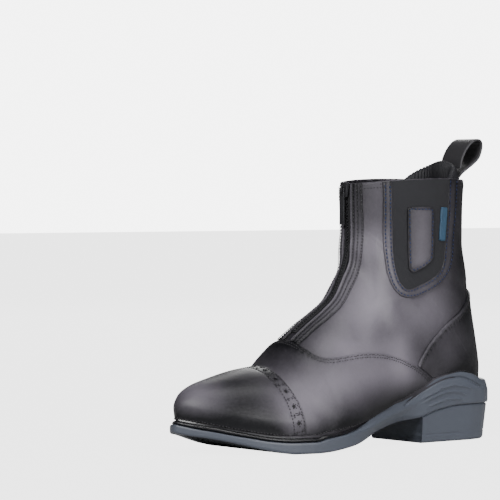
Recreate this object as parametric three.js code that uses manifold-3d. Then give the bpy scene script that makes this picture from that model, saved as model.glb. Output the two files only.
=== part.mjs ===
// Left ankle boot with a centre-front zip, elastic side panels, toe cap and block heel.
// Millimetres, +Z up. The toe points to -Y and the outer side of the foot is +X.
// The origin is the middle of the flat bottom of the heel, on the floor.
import * as THREE from 'three';
import Module from 'manifold-3d';

const wasm = await Module();
wasm.setup();

// Driving dimensions of the sole unit
const SOLE_LENGTH = 292.3;
const BALL_WIDTH = 102.5;
const HEEL_WIDTH = 68;
const HEEL_RISE = 28;
const TOE_SPRING = 16.2;
const SOLE_THICKNESS = 8.2;
const SEAT_THICKNESS = 4.5;
const CUP_LIP = 9;
const WELT_HEIGHT = 5;
const WELT_SETBACK = 1.2;
const EDGE_ROUND = 1;

// Driving dimensions of the heel block
const HEEL_LENGTH = 80.1;
const HEEL_BACK_TAPER = 3.2;
const HEEL_SIDE_TAPER = 1.3;
const HEEL_INSET = 1.2;

// Driving dimensions of the upper
const INSTEP_HEIGHT = 148.5;
const BOOT_HEIGHT = 197;
const COLLAR_WIDTH = 69.4;
const LEATHER_WALL = 2;
const FEATHER_INSET = 4.7;
const UPPER_SWELL = 1.02;
const CLEARANCE = 0.3;

// Resolution of the faceted forms
const SOLE_STATIONS = 28;
const COLUMNS = 16;
const FACET_TOLERANCE = 0.02;

const HEEL_CENTRE = 45;
const HEEL_START = 4.5;

// Small numeric helpers
const mix = (a, b, t) => a + (b - a) * t;
const clamp = (v, lo, hi) => Math.min(hi, Math.max(lo, v));
function smoothstep(lo, hi, v) {
  const t = clamp((v - lo) / (hi - lo), 0, 1);
  return t * t * (3 - 2 * t);
}
function softMax(a, b) {
  return (a + b + Math.hypot(a - b, 0.1 * (a + b))) / 2;
}

// A smooth curve through hand-set values that never overshoots them
function curveThrough(xs, ys) {
  const n = xs.length;
  const rise = [];
  for (let i = 0; i < n - 1; i += 1) rise.push((ys[i + 1] - ys[i]) / (xs[i + 1] - xs[i]));
  const slope = [rise[0]];
  for (let i = 1; i < n - 1; i += 1) {
    const before = xs[i] - xs[i - 1];
    const after = xs[i + 1] - xs[i];
    const w0 = 2 * after + before;
    const w1 = after + 2 * before;
    const turns = rise[i - 1] * rise[i] <= 0;
    slope.push(turns ? 0 : (w0 + w1) / (w0 / rise[i - 1] + w1 / rise[i]));
  }
  slope.push(rise[n - 2]);
  return (at) => {
    const x = clamp(at, xs[0], xs[n - 1]);
    let i = 0;
    while (i < n - 2 && x > xs[i + 1]) i += 1;
    const h = xs[i + 1] - xs[i];
    const t = (x - xs[i]) / h;
    const a = (2 * t ** 3 - 3 * t ** 2 + 1) * ys[i] + (t ** 3 - 2 * t ** 2 + t) * h * slope[i];
    const b = (3 * t ** 2 - 2 * t ** 3) * ys[i + 1] + (t ** 3 - t ** 2) * h * slope[i + 1];
    return a + b;
  };
}

function tableCurves(columns, rows, position) {
  const xs = rows.map(position);
  const entries = columns.map((name, k) => [name, curveThrough(xs, rows.map((row) => row[k]))]);
  return Object.fromEntries(entries);
}

// Turning position along the sole: 0 at the back of the heel, 1 at the tip of the toe
const toTurn = (along) => Math.acos(1 - 2 * clamp(along, 0, 1)) / Math.PI;
const toAlong = (turn) => (1 - Math.cos(Math.PI * turn)) / 2;

// Plan outline: share of the length, then the outer and inner half widths as shares of the local width
const OUTLINE_COLUMNS = ['along', 'outer', 'inner'];
const OUTLINE_ROWS = [
  [0, 0, 0],
  [0.010, 0.206, 0.206],
  [0.034, 0.360, 0.360],
  [0.075, 0.463, 0.463],
  [0.137, 0.500, 0.493],
  [0.205, 0.500, 0.478],
  [0.291, 0.500, 0.434],
  [0.359, 0.506, 0.394],
  [0.428, 0.506, 0.375],
  [0.496, 0.511, 0.401],
  [0.554, 0.512, 0.441],
  [0.609, 0.508, 0.474],
  [0.667, 0.498, 0.493],
  [0.729, 0.463, 0.493],
  [0.797, 0.395, 0.463],
  [0.866, 0.302, 0.400],
  [0.924, 0.195, 0.312],
  [0.965, 0.088, 0.220],
  [0.989, 0.005, 0.137],
  [1, -0.054, 0.054],
];
const outlineShares = tableCurves(OUTLINE_COLUMNS, OUTLINE_ROWS, (row) => toTurn(row[0]));
const localWidth = (along) => mix(HEEL_WIDTH, BALL_WIDTH, smoothstep(0.30, 0.62, along));

// Heights of the sole unit. heel and toe are shares of the heel rise and the toe spring, side is
// the height of the side face over the underside, lip the height of the cup above the side face,
// welt the height of the welt strip above that
const HEIGHT_COLUMNS = ['along', 'heel', 'toe', 'side', 'lip', 'welt'];
const HEIGHT_ROWS = [
  [0, 0.96, 0, 1.34, 0.89, 0],
  [0.027, 0.98, 0, 1.24, 0.85, 0],
  [0.058, 1.00, 0, 1.20, 0.87, 0],
  [0.113, 1.00, 0, 1.71, 1.00, 0],
  [0.164, 0.99, 0, 1.98, 1.00, 0],
  [0.233, 0.90, 0, 1.96, 0.99, 0],
  [0.304, 0.70, 0, 1.63, 0.89, 0],
  [0.383, 0.60, 0, 1.06, 0.89, 0],
  [0.445, 0.46, 0, 1.04, 0.64, 0],
  [0.503, 0.30, 0, 1.09, 0.53, 0.02],
  [0.564, 0.16, 0, 1.16, 0.14, 0.62],
  [0.609, 0.08, 0, 1.22, 0, 0.88],
  [0.653, 0.02, 0, 1.21, 0, 0.92],
  [0.690, 0, 0, 1.00, 0, 1.00],
  [0.745, 0, 0, 1.00, 0, 1.02],
  [0.811, 0, 0.19, 0.81, 0, 1.04],
  [0.859, 0, 0.41, 0.71, 0, 1.00],
  [0.903, 0, 0.62, 0.61, 0, 1.06],
  [0.944, 0, 0.79, 0.60, 0, 1.14],
  [0.978, 0, 0.89, 0.70, 0, 1.12],
  [1, 0, 1, 0.74, 0, 0.94],
];
const heightShares = tableCurves(HEIGHT_COLUMNS, HEIGHT_ROWS, (row) => row[0]);
const underside = (along) =>
  heightShares.heel(along) * HEEL_RISE + heightShares.toe(along) * TOE_SPRING;
const sideTop = (along) => underside(along) + heightShares.side(along) * SOLE_THICKNESS;
const rimTop = (along) => sideTop(along) + heightShares.lip(along) * CUP_LIP;
const weltTop = (along) => rimTop(along) + heightShares.welt(along) * WELT_HEIGHT;
const seatTop = (along) => underside(along) + SEAT_THICKNESS;

// A point of the plan outline, moved inwards by an inset. side is 1 on the outer edge, -1 on the inner
function outlinePoint(turn, side, inset) {
  const bare = (t) => {
    const along = toAlong(t);
    const share = side > 0 ? outlineShares.outer(t) : -outlineShares.inner(t);
    return [share * localWidth(along), along * SOLE_LENGTH];
  };
  const step = 0.002;
  const [x0, u0] = bare(Math.max(0, turn - step));
  const [x1, u1] = bare(Math.min(1, turn + step));
  const [x, u] = bare(turn);
  let nx = (u1 - u0) * side;
  let nu = -(x1 - x0) * side;
  if (turn < step) [nx, nu] = [0, -1];
  if (turn > 1 - step) [nx, nu] = [0, 1];
  const length = Math.hypot(nx, nu);
  return [x - (nx / length) * inset, u - (nu / length) * inset];
}
const place = (x, u, z) => [x, HEEL_CENTRE - u, z];

// A closed body is gathered as points and triangles, with doubled points and faces dropped
class Body {
  constructor() {
    this.points = [];
    this.faces = [];
    this.known = new Map();
  }
  point(p) {
    const key = p.map((v) => Math.round(v * 1e4)).join();
    if (!this.known.has(key)) {
      this.known.set(key, this.points.length);
      this.points.push(p);
    }
    return this.known.get(key);
  }
  triangle(a, b, c) {
    const ids = [a, b, c].map((p) => this.point(p));
    if (new Set(ids).size === 3) this.faces.push(ids);
  }
  quad(a, b, c, d) {
    this.triangle(a, b, c);
    this.triangle(a, c, d);
  }
  strip(first, second, mirrorFrom = first.length, facingOut = true) {
    for (let i = 0; i < first.length - 1; i += 1) {
      const [a, b, c, d] = [first[i], first[i + 1], second[i + 1], second[i]];
      if ((i < mirrorFrom) === facingOut) this.quad(a, b, c, d);
      else this.quad(b, c, d, a);
    }
  }
  solid() {
    const kept = new Map();
    for (const ids of this.faces) {
      const key = [...ids].sort((a, b) => a - b).join();
      if (kept.has(key)) kept.delete(key);
      else kept.set(key, ids);
    }
    const faces = [...kept.values()];
    let volume = 0;
    for (const [a, b, c] of faces) {
      const [p, q, r] = [a, b, c].map((id) => new THREE.Vector3(...this.points[id]));
      volume += p.dot(q.cross(r));
    }
    const wound = volume < 0 ? faces.map(([a, b, c]) => [a, c, b]) : faces;
    const vertProperties = new Float32Array(this.points.flat());
    const triVerts = new Uint32Array(wound.flat());
    return new wasm.Manifold(new wasm.Mesh({ numProp: 3, vertProperties, triVerts }));
  }
}

// A body made of closed loops stacked on each other, each with an outer-edge and an inner-edge half
function stacked(levels, from, to, stations) {
  const turns = [];
  const [t0, t1] = [toTurn(from), toTurn(to)];
  for (let i = 0; i <= stations; i += 1) turns.push(mix(t0, t1, i / stations));
  const half = (level, side) => turns.map((turn) => {
    const along = toAlong(turn);
    const [x, u] = outlinePoint(turn, side, level.inset(along));
    const centred = (turn < 1e-6) ? 0 : x;
    return place(centred, u, level.height(along));
  });
  const body = new Body();
  const loops = levels.map((level) => [half(level, 1), half(level, -1)]);
  body.strip(loops[0][0], loops[0][1]);
  for (let k = 0; k < loops.length - 1; k += 1) {
    const [outer, inner] = loops[k];
    const [nextOuter, nextInner] = loops[k + 1];
    body.strip(nextOuter, outer);
    body.strip(inner, nextInner);
    body.quad(outer[0], inner[0], nextInner[0], nextOuter[0]);
    body.quad(inner[stations], outer[stations], nextOuter[stations], nextInner[stations]);
  }
  const last = loops[loops.length - 1];
  body.strip(last[1], last[0]);
  return body.solid();
}

// Sections of the upper from the toe to the collar. Each runs from the foot of the upper to the
// front line. seat is its place on the sole, or back and backRise its foot on the back line.
// top and topRise place its upper end. outer and inner are the least half widths as shares of the
// collar's width, wideAt the share of its height where it is widest, low and crown how square it is
// below and above that, lean the sideways place of its upper end as a share of the ball width,
// bow how far its middle lies above the straight line, as a share of the boot's height.
// Rises are shares of the instep height, and above 1 they run on up the shaft
const FOOT_COLUMNS = ['seat', 'top', 'topRise', 'outer', 'inner', 'wideAt', 'low', 'crown', 'lean', 'bow'];
const FOOT_ROWS = [
  [1.000, 0.983, 0.172, 0, 0, 0.10, 2.0, 2.0, -0.054, 0],
  [0.997, 0.981, 0.213, 0, 0, 0.10, 2.0, 2.1, -0.060, 0],
  [0.988, 0.975, 0.250, 0, 0, 0.11, 2.0, 2.2, -0.062, 0],
  [0.966, 0.958, 0.290, 0, 0, 0.12, 2.0, 2.2, -0.060, 0],
  [0.930, 0.924, 0.322, 0, 0, 0.13, 2.0, 2.2, -0.055, 0],
  [0.877, 0.862, 0.354, 0, 0, 0.14, 2.0, 2.2, -0.048, 0],
  [0.813, 0.790, 0.385, 0, 0, 0.15, 2.0, 2.1, -0.040, 0],
  [0.752, 0.729, 0.400, 0, 0, 0.16, 2.0, 2.0, -0.032, 0],
  [0.715, 0.700, 0.436, 0, 0, 0.16, 2.0, 1.95, -0.027, 0],
  [0.680, 0.668, 0.512, 0, 0, 0.16, 2.0, 1.85, -0.022, 0],
  [0.620, 0.602, 0.610, 0.50, 0.50, 0.17, 2.0, 1.8, -0.016, 0],
  [0.545, 0.544, 0.686, 0.53, 0.53, 0.20, 2.0, 1.75, -0.010, 0],
  [0.462, 0.505, 0.751, 0.52, 0.50, 0.26, 2.0, 1.75, -0.004, 0],
  [0.372, 0.479, 0.838, 0.485, 0.485, 0.33, 2.1, 1.75, 0, 0],
  [0.274, 0.459, 0.929, 0.460, 0.460, 0.40, 2.2, 1.8, 0, 0],
  [0.185, 0.451, 1.000, 0.452, 0.452, 0.45, 2.2, 1.85, 0, 0],
  [0.103, 0.449, 1.175, 0.452, 0.452, 0.49, 2.1, 1.9, 0, 0],
  [0.048, 0.449, 1.310, 0.455, 0.455, 0.51, 2.1, 1.95, 0, 0],
  [0.014, 0.449, 1.400, 0.460, 0.460, 0.52, 2.1, 2.0, 0, 0],
  [0, 0.450, 1.475, 0.465, 0.465, 0.52, 2.1, 2.0, 0, 0],
];
const SHAFT_COLUMNS = [
  'back', 'backRise', 'top', 'topRise', 'outer', 'inner', 'wideAt', 'low', 'crown', 'bow',
];
const SHAFT_ROWS = [
  [0.021, 0.337, 0.450, 1.545, 0.470, 0.470, 0.51, 2.1, 2.0, 0],
  [0.034, 0.471, 0.450, 1.630, 0.476, 0.476, 0.50, 2.1, 2.0, 0],
  [0.052, 0.640, 0.450, 1.710, 0.482, 0.482, 0.50, 2.1, 2.0, 0],
  [0.066, 0.821, 0.450, 1.805, 0.489, 0.489, 0.50, 2.1, 2.0, 0.002],
  [0.080, 1.030, 0.450, 1.875, 0.496, 0.496, 0.50, 2.0, 2.0, 0.005],
  [0.079, 1.546, 0.450, 1.940, 0.500, 0.500, 0.50, 2.0, 2.0, 0.009],
  [0.0730, 2.041, 0.450, 2.000, 0.500, 0.500, 0.50, 2.0, 2.0, 0.0127],
];
const LAST_FOOT = FOOT_ROWS.length - 1;
const TOP_ROW = LAST_FOOT + SHAFT_ROWS.length;
const rise = (share) => (share <= 1
  ? share * INSTEP_HEIGHT
  : mix(INSTEP_HEIGHT, BOOT_HEIGHT, share - 1));

// Every column as a smooth curve over the row number
function sectionCurves() {
  const column = (name) => {
    const foot = FOOT_ROWS.map((row) => row[FOOT_COLUMNS.indexOf(name)]);
    const at = SHAFT_COLUMNS.indexOf(name);
    const shaft = SHAFT_ROWS.map((row) => (at < 0 ? 0 : row[at]));
    const values = [...foot, ...shaft];
    return curveThrough(values.map((_, i) => i), values);
  };
  const shared = ['top', 'outer', 'inner', 'wideAt', 'low', 'crown', 'lean', 'bow'];
  const curves = Object.fromEntries(shared.map((name) => [name, column(name)]));
  const tops = [...FOOT_ROWS.map((row) => rise(row[2])), ...SHAFT_ROWS.map((row) => rise(row[3]))];
  curves.topHeight = curveThrough(tops.map((_, i) => i), tops);
  const seats = FOOT_ROWS.map((row) => toTurn(row[0]));
  curves.seatTurn = curveThrough(seats.map((_, i) => i), seats);
  const backs = [FEATHER_INSET / SOLE_LENGTH, ...SHAFT_ROWS.map((row) => row[0])];
  curves.back = curveThrough(backs.map((_, i) => i + LAST_FOOT), backs);
  const heights = [seatTop(0) + CLEARANCE, ...SHAFT_ROWS.map((row) => rise(row[1]))];
  curves.backHeight = curveThrough(heights.map((_, i) => i + LAST_FOOT), heights);
  return curves;
}
const section = sectionCurves();

// The foot of a section on one side, as x, u and z
function sectionFoot(row, side) {
  if (row >= LAST_FOOT) return [0, section.back(row) * SOLE_LENGTH, section.backHeight(row)];
  const turn = section.seatTurn(row);
  const [x, u] = outlinePoint(turn, side, FEATHER_INSET);
  return [x, u, seatTop(toAlong(turn)) + CLEARANCE];
}

// A point of the upper's outer form. across runs 0 at the outer foot, 0.5 on the ridge, 1 at the inner foot
function upperForm(row, across) {
  const side = across <= 0.5 ? 1 : -1;
  const climb = side > 0 ? across * 2 : (1 - across) * 2;
  const [footX, footU, footZ] = sectionFoot(row, side);
  const [otherX] = sectionFoot(row, -side);
  const centre = (footX + otherX) / 2;
  const footWidth = Math.abs(footX - centre);
  const body = COLLAR_WIDTH * (side > 0 ? section.outer(row) : section.inner(row));
  const widest = Math.max(softMax(footWidth * UPPER_SWELL, body), 1e-6);
  const wideAt = section.wideAt(row);
  const turnAt = 0.14 + 0.56 * wideAt;
  let width;
  let height;
  if (climb < turnAt) {
    const low = section.low(row);
    const open = Math.acos(clamp((footWidth / widest) ** (low / 2), 0, 0.995));
    const angle = (1 - climb / turnAt) * open;
    height = wideAt * (1 - (Math.sin(angle) / Math.sin(open)) ** (2 / low));
    width = widest * Math.cos(angle) ** (2 / low);
  } else {
    const crown = section.crown(row);
    const angle = ((climb - turnAt) / (1 - turnAt)) * Math.PI / 2;
    height = wideAt + (1 - wideAt) * Math.sin(angle) ** (2 / crown);
    width = widest * Math.max(Math.cos(angle), 0) ** (2 / crown);
  }
  if (row >= LAST_FOOT && (across <= 0 || across >= 1)) width = 0;
  if (across === 0.5) width = 0;
  const topU = section.top(row) * SOLE_LENGTH;
  const topZ = section.topHeight(row);
  const lean = mix(centre, section.lean(row) * BALL_WIDTH, height);
  const bow = section.bow(row) * BOOT_HEIGHT * 4 * height * (1 - height);
  return new THREE.Vector3(lean + side * width, mix(footU, topU, height), mix(footZ, topZ, height) + bow);
}

// The same form moved out along its own normal. At the tip of the toe both sides share one line
function upperPoint(row, across, out) {
  if (row > 0) return offsetPoint(row, across, out);
  const [a, b] = [offsetPoint(row, across, out), offsetPoint(row, 1 - across, out)];
  return a.map((value, k) => (value + b[k]) / 2);
}
function offsetPoint(row, across, out) {
  const step = 1e-3;
  const r = clamp(row, 0.04, TOP_ROW - 0.01);
  const c = clamp(across, step, 1 - step);
  const alongRow = upperForm(r, c + step).sub(upperForm(r, c - step));
  const alongFoot = upperForm(r + step, c).sub(upperForm(r - step, c));
  const normal = alongRow.cross(alongFoot).normalize();
  if (across === 0.5) normal.setX(normal.x * 0).normalize();
  const seam = row >= LAST_FOOT && (across <= 0 || across >= 1);
  if (seam) normal.setX(0).normalize();
  const foot = row <= LAST_FOOT && (across <= 0 || across >= 1);
  if (foot) normal.setZ(0).normalize();
  const p = upperForm(row, across).addScaledVector(normal, out);
  return place(seam ? 0 : p.x, p.y, p.z);
}


const boot = new THREE.Group();
// The largest piece of a solid, without the splinters that a cut along a facet leaves
const largest = (solid) => solid.decompose().sort((a, b) => b.volume() - a.volume())[0];
function add(name, solid, colour, roughness, metalness = 0) {
  const { vertProperties, triVerts } = largest(solid.simplify(FACET_TOLERANCE)).getMesh();
  const geometry = new THREE.BufferGeometry();
  geometry.setAttribute('position', new THREE.BufferAttribute(new Float32Array(vertProperties), 3));
  geometry.setIndex(new THREE.BufferAttribute(new Uint32Array(triVerts), 1));
  const material = new THREE.MeshStandardMaterial({ color: colour, roughness, metalness });
  const mesh = new THREE.Mesh(geometry, material);
  mesh.name = name;
  boot.add(mesh);
  return mesh;
}

const spread = (from, to, count) => Array.from({ length: count + 1 }, (_, i) => mix(from, to, i / count));
const allRows = spread(0, TOP_ROW, TOP_ROW);
const allColumns = spread(0, 1, COLUMNS);

// A slab between two offsets of the upper's form, over some of its rows
function slab(inner, outer, rows = allRows) {
  const grid = (out) => rows.map((row) => allColumns.map((across) => upperPoint(row, across, out)));
  const [face, back] = [grid(outer), grid(inner)];
  const body = new Body();
  for (let i = 0; i < rows.length - 1; i += 1) {
    body.strip(face[i], face[i + 1], COLUMNS / 2);
    body.strip(back[i + 1], back[i], COLUMNS / 2, false);
    body.quad(face[i + 1][0], back[i + 1][0], back[i][0], face[i][0]);
    body.quad(back[i][COLUMNS], back[i + 1][COLUMNS], face[i + 1][COLUMNS], face[i][COLUMNS]);
  }
  const end = rows.length - 1;
  body.strip(face[end], back[end]);
  if (rows[0] > 0) body.strip(back[0], face[0]);
  return body.solid();
}

// The space inside an offset of the upper's form, down to a drop below its foot
function lastForm(out, drop) {
  const body = new Body();
  const grid = allRows.map((row) => allColumns.map((across) => upperPoint(row, across, out)));
  const down = ([x, y, z]) => [x, y, z - drop];
  for (let i = 0; i < allRows.length - 1; i += 1) {
    body.strip(grid[i], grid[i + 1], COLUMNS / 2);
    if (i < LAST_FOOT) {
      const [a, b] = [grid[i][0], grid[i][COLUMNS]];
      const [c, d] = [grid[i + 1][0], grid[i + 1][COLUMNS]];
      body.quad(down(a), down(c), down(d), down(b));
      body.quad(c, down(c), down(a), a);
      body.quad(b, down(b), down(d), d);
    }
  }
  const top = grid[allRows.length - 1];
  const mid = COLUMNS / 2;
  body.strip(top.slice(0, mid + 1), top.slice(mid).reverse());
  return body.solid();
}

// A closed three.js geometry as a solid
function fromGeometry(geometry) {
  const flat = geometry.index ? geometry.toNonIndexed() : geometry;
  const { array } = flat.attributes.position;
  const body = new Body();
  const corner = (i) => [array[i * 3], array[i * 3 + 1], array[i * 3 + 2]];
  for (let i = 0; i < array.length / 3; i += 3) body.triangle(corner(i), corner(i + 1), corner(i + 2));
  return body.solid();
}

// A prism through the boot whose outline is drawn in the side view, as u and z
const sideBasis = new THREE.Matrix4().makeBasis(
  new THREE.Vector3(0, -1, 0),
  new THREE.Vector3(0, 0, 1),
  new THREE.Vector3(1, 0, 0),
);
function sidePrism(outline, xFrom, xTo) {
  const shape = new THREE.Shape(outline.map(([u, z]) => new THREE.Vector2(u, z)));
  const geometry = new THREE.ExtrudeGeometry(shape, { depth: xTo - xFrom, bevelEnabled: false });
  geometry.applyMatrix4(sideBasis);
  geometry.translate(xFrom, HEEL_CENTRE, 0);
  return fromGeometry(geometry);
}
// A smooth line through rows of length share and rise
function sideLine(rows, count) {
  const points = rows.map(([along, share]) => new THREE.Vector2(along * SOLE_LENGTH, rise(share)));
  return new THREE.SplineCurve(points).getPoints(count).map((p) => [p.x, p.y]);
}
const FAR = 400;
const WIDE = 80;

const LEATHER = 0x26252b;
const THIN_OVERLAY = 1.3;
const CAP_OVERLAY = 1.8;

// The upper: one hollow leather wall, open at the collar and along its foot
add('upper', slab(-LEATHER_WALL, 0), LEATHER, 0.42);
const last = lastForm(CLEARANCE, CLEARANCE);

// Seam lines in the side view, each row a length share and a rise
const VAMP_LINE = [
  [0.657, 0.556], [0.6425, 0.493], [0.629, 0.465], [0.6025, 0.457], [0.559, 0.467], [0.512, 0.476],
  [0.464, 0.475], [0.413, 0.462], [0.361, 0.432], [0.313, 0.393], [0.259, 0.332], [0.205, 0.27],
];
const COUNTER_LINE = [
  [0.318, 0.40], [0.307, 0.428], [0.266, 0.527], [0.231, 0.576], [0.200, 0.616], [0.159, 0.664],
  [0.115, 0.723], [0.075, 0.772], [0.020, 0.83],
];
const CAP_LINE = [[0.712, 0], [0.714, 0.09], [0.721, 0.24], [0.732, 0.36], [0.736, 0.42], [0.738, 0.6]];
const GORE_LINE = [
  [0.380, 2.10], [0.378, 1.65], [0.374, 1.32], [0.369, 0.94], [0.366, 0.875], [0.357, 0.82],
  [0.336, 0.788], [0.289, 0.815], [0.245, 0.863], [0.225, 0.912], [0.219, 1.05], [0.207, 1.48],
  [0.204, 2.10],
];
const BAND_LINE = [
  [0.401, 2.10], [0.396, 1.32], [0.393, 0.965], [0.390, 0.868], [0.374, 0.785], [0.345, 0.748],
  [0.302, 0.754], [0.251, 0.797], [0.213, 0.850], [0.189, 0.923], [0.180, 1.13], [0.169, 1.57],
  [0.165, 2.10],
];
const PATCH_LINE = [
  [0.342, 1.637], [0.262, 1.635], [0.261, 1.20], [0.261, 0.942], [0.281, 0.909], [0.318, 0.871],
  [0.331, 0.888], [0.335, 0.993],
];
const TAB_LINE = [[0.236, 1.635], [0.214, 1.625], [0.222, 1.097], [0.244, 1.107]];

// Vamp, toe cap and counter: leather overlays, cut by their edge lines between two offsets
const vampEdge = sideLine(VAMP_LINE, 16);
const capEdge = sideLine(CAP_LINE, 8);
const forwardOfCap = (gap) => sidePrism(
  [...capEdge.map(([u, z]) => [u + gap, z]), [FAR, FAR], [FAR, 0]],
  -WIDE,
  WIDE,
);
const belowVamp = (gap) => sidePrism(
  [...vampEdge.map(([u, z]) => [u, z + gap]), [0, 0], [FAR, 0], [FAR, vampEdge[0][1]]],
  -WIDE,
  WIDE,
);
const counterEdge = sideLine(COUNTER_LINE, 10);
const behindCounter = sidePrism(
  [...counterEdge, [-FAR, counterEdge[10][1]], [-FAR, 0], [counterEdge[0][0], 0]],
  -WIDE,
  WIDE,
);
const soleClearance = stacked([
  { inset: () => -3, height: () => -1 },
  { inset: () => -3, height: (a) => weltTop(a) + CLEARANCE },
  { inset: () => 2.6, height: (a) => weltTop(a) + CLEARANCE },
  { inset: () => 12, height: (a) => weltTop(a) + CLEARANCE },
], 0, 1, SOLE_STATIONS);
const skin = (outer, from, to) => slab(CLEARANCE, outer, allRows.filter((row) => row >= from && row <= to))
  .subtract(soleClearance);
const vamp = skin(THIN_OVERLAY, 0, 17).intersect(belowVamp(0)).subtract(forwardOfCap(-CLEARANCE));
add('vamp', vamp, LEATHER, 0.42);
add('toe_cap', skin(CAP_OVERLAY, 0, 9).intersect(forwardOfCap(0)), LEATHER, 0.38);
const counter = skin(THIN_OVERLAY, 12, TOP_ROW).intersect(behindCounter).subtract(belowVamp(CLEARANCE));
add('counter', counter, LEATHER, 0.42);

// Elastic side panels with their leather bands and middle patches, on the outer and the inner side
const goreEdge = sideLine(GORE_LINE, 14);
const bandEdge = sideLine(BAND_LINE, 14);
const patchEdge = PATCH_LINE.map(([along, share]) => [along * SOLE_LENGTH, rise(share)]);
const shaftRows = allRows.filter((row) => row >= 12);
const GORE_OVERLAY = 0.9;
const BAND_OVERLAY = 1.5;
const PATCH_OVERLAY = 2.2;
const SIDE_TAB_OVERLAY = 2.4;
// The side panels start this far out from the middle of the boot
const SIDE_START = 4;
const goreSkin = slab(CLEARANCE, GORE_OVERLAY, shaftRows);
const bandSkin = slab(CLEARANCE, BAND_OVERLAY, shaftRows);
const patchSkin = slab(GORE_OVERLAY + CLEARANCE, PATCH_OVERLAY, shaftRows);
const shrink = (outline, by) => {
  const [cu, cz] = [0, 1].map((k) => outline.reduce((sum, p) => sum + p[k], 0) / outline.length);
  return outline.map(([u, z]) => {
    const length = Math.hypot(u - cu, z - cz);
    return [u - ((u - cu) / length) * by, z - ((z - cz) / length) * by];
  });
};
for (const [side, xFrom, xTo] of [['outer', SIDE_START, WIDE], ['inner', -WIDE, -SIDE_START]]) {
  const window = sidePrism(goreEdge, xFrom, xTo);
  const elastic = goreSkin.intersect(sidePrism(shrink(goreEdge, CLEARANCE * 1.5), xFrom, xTo));
  add(`gore_${side}`, elastic, 0x2b2d2f, 0.85);
  const band = bandSkin.intersect(sidePrism(bandEdge, xFrom, xTo)).subtract(window);
  add(`gore_band_${side}`, band, LEATHER, 0.42);
  add(`gore_patch_${side}`, patchSkin.intersect(sidePrism(patchEdge, xFrom, xTo)), LEATHER, 0.45);
}
const tabEdge = TAB_LINE.map(([along, share]) => [along * SOLE_LENGTH, rise(share)]);
const sideTab = slab(GORE_OVERLAY + CLEARANCE, SIDE_TAB_OVERLAY, shaftRows)
  .intersect(sidePrism(tabEdge, SIDE_START, WIDE))
  .subtract(sidePrism(patchEdge, SIDE_START, WIDE));
add('side_tab', sideTab, 0x27476e, 0.6);

// Front zip: tape and chain along the ridge, with a leather facing on either side
const ZIP_BASE = 0.628;
const TAPE_HALF = 3;
const CHAIN_HALF = 1.6;
const FACING_WIDTH = 9;
const FACING_OVERLAY = 1.6;
const TAPE_OVERLAY = 0.8;
const CHAIN_FROM = 1.1;
const CHAIN_OVERLAY = 2.3;
// The chain ends this far under the collar, where the slider is parked
const CHAIN_DROP = 12;
// The part of the front that the zip runs down, each row a length share and a rise
const ZIP_WINDOW = [
  [ZIP_BASE, 0.404], [ZIP_BASE, 0.875], [0.599, 6], [0.325, 6], [0.325, 0.808], [0.428, 0.471],
];
const zipRegion = sidePrism(
  ZIP_WINDOW.map(([along, share]) => [along * SOLE_LENGTH, rise(share)]),
  -WIDE,
  WIDE,
);
const across = (solid, from, to) => solid.intersect(
  sidePrism([[-FAR, -FAR], [FAR, -FAR], [FAR, FAR], [-FAR, FAR]], from, to),
);
const zipRows = allRows.filter((row) => row >= 9);
function zipStrip(inner, outer, from, to) {
  return across(slab(inner, outer, zipRows).intersect(zipRegion), from, to);
}
add('zip_tape', zipStrip(CLEARANCE, TAPE_OVERLAY, -TAPE_HALF, TAPE_HALF), 0x17171a, 0.9);
const chainTop = BOOT_HEIGHT - CHAIN_DROP;
const belowSlider = sidePrism([[0, 0], [FAR, 0], [FAR, chainTop], [0, chainTop]], -WIDE, WIDE);
const chain = zipStrip(CHAIN_FROM, CHAIN_OVERLAY, -CHAIN_HALF, CHAIN_HALF).intersect(belowSlider);
add('zip_chain', chain, 0x2b2b2e, 0.35, 0.8);
const aboveVampEdge = (solid) => solid.subtract(belowVamp(CLEARANCE));
add('zip_facing_outer', aboveVampEdge(
  zipStrip(CLEARANCE, FACING_OVERLAY, TAPE_HALF + CLEARANCE, TAPE_HALF + FACING_WIDTH),
), LEATHER, 0.42);
add('zip_facing_inner', aboveVampEdge(
  zipStrip(CLEARANCE, FACING_OVERLAY, -TAPE_HALF - FACING_WIDTH, -TAPE_HALF - CLEARANCE),
), LEATHER, 0.42);

// The sole unit: forefoot, waist and the cup around the heel, cut to seat the upper
const waistTuck = (along) => 4.5 * smoothstep(0.28, 0.36, along) * (1 - smoothstep(0.46, 0.58, along));
const cupShare = (along) => 1 - smoothstep(0.45, 0.56, along);
const soleLevels = [
  { inset: (a) => EDGE_ROUND + waistTuck(a), height: underside },
  { inset: (a) => waistTuck(a) * 0.6, height: (a) => underside(a) + EDGE_ROUND + waistTuck(a) * 0.5 },
  { inset: () => 0, height: sideTop },
  { inset: (a) => mix(1.2, 1.8, cupShare(a)), height: (a) => mix(sideTop(a), rimTop(a) - 1, cupShare(a)) },
  { inset: () => 2.4, height: rimTop },
  { inset: () => 12, height: rimTop },
];
let outsole = stacked(soleLevels, 0, 1, SOLE_STATIONS);
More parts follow.
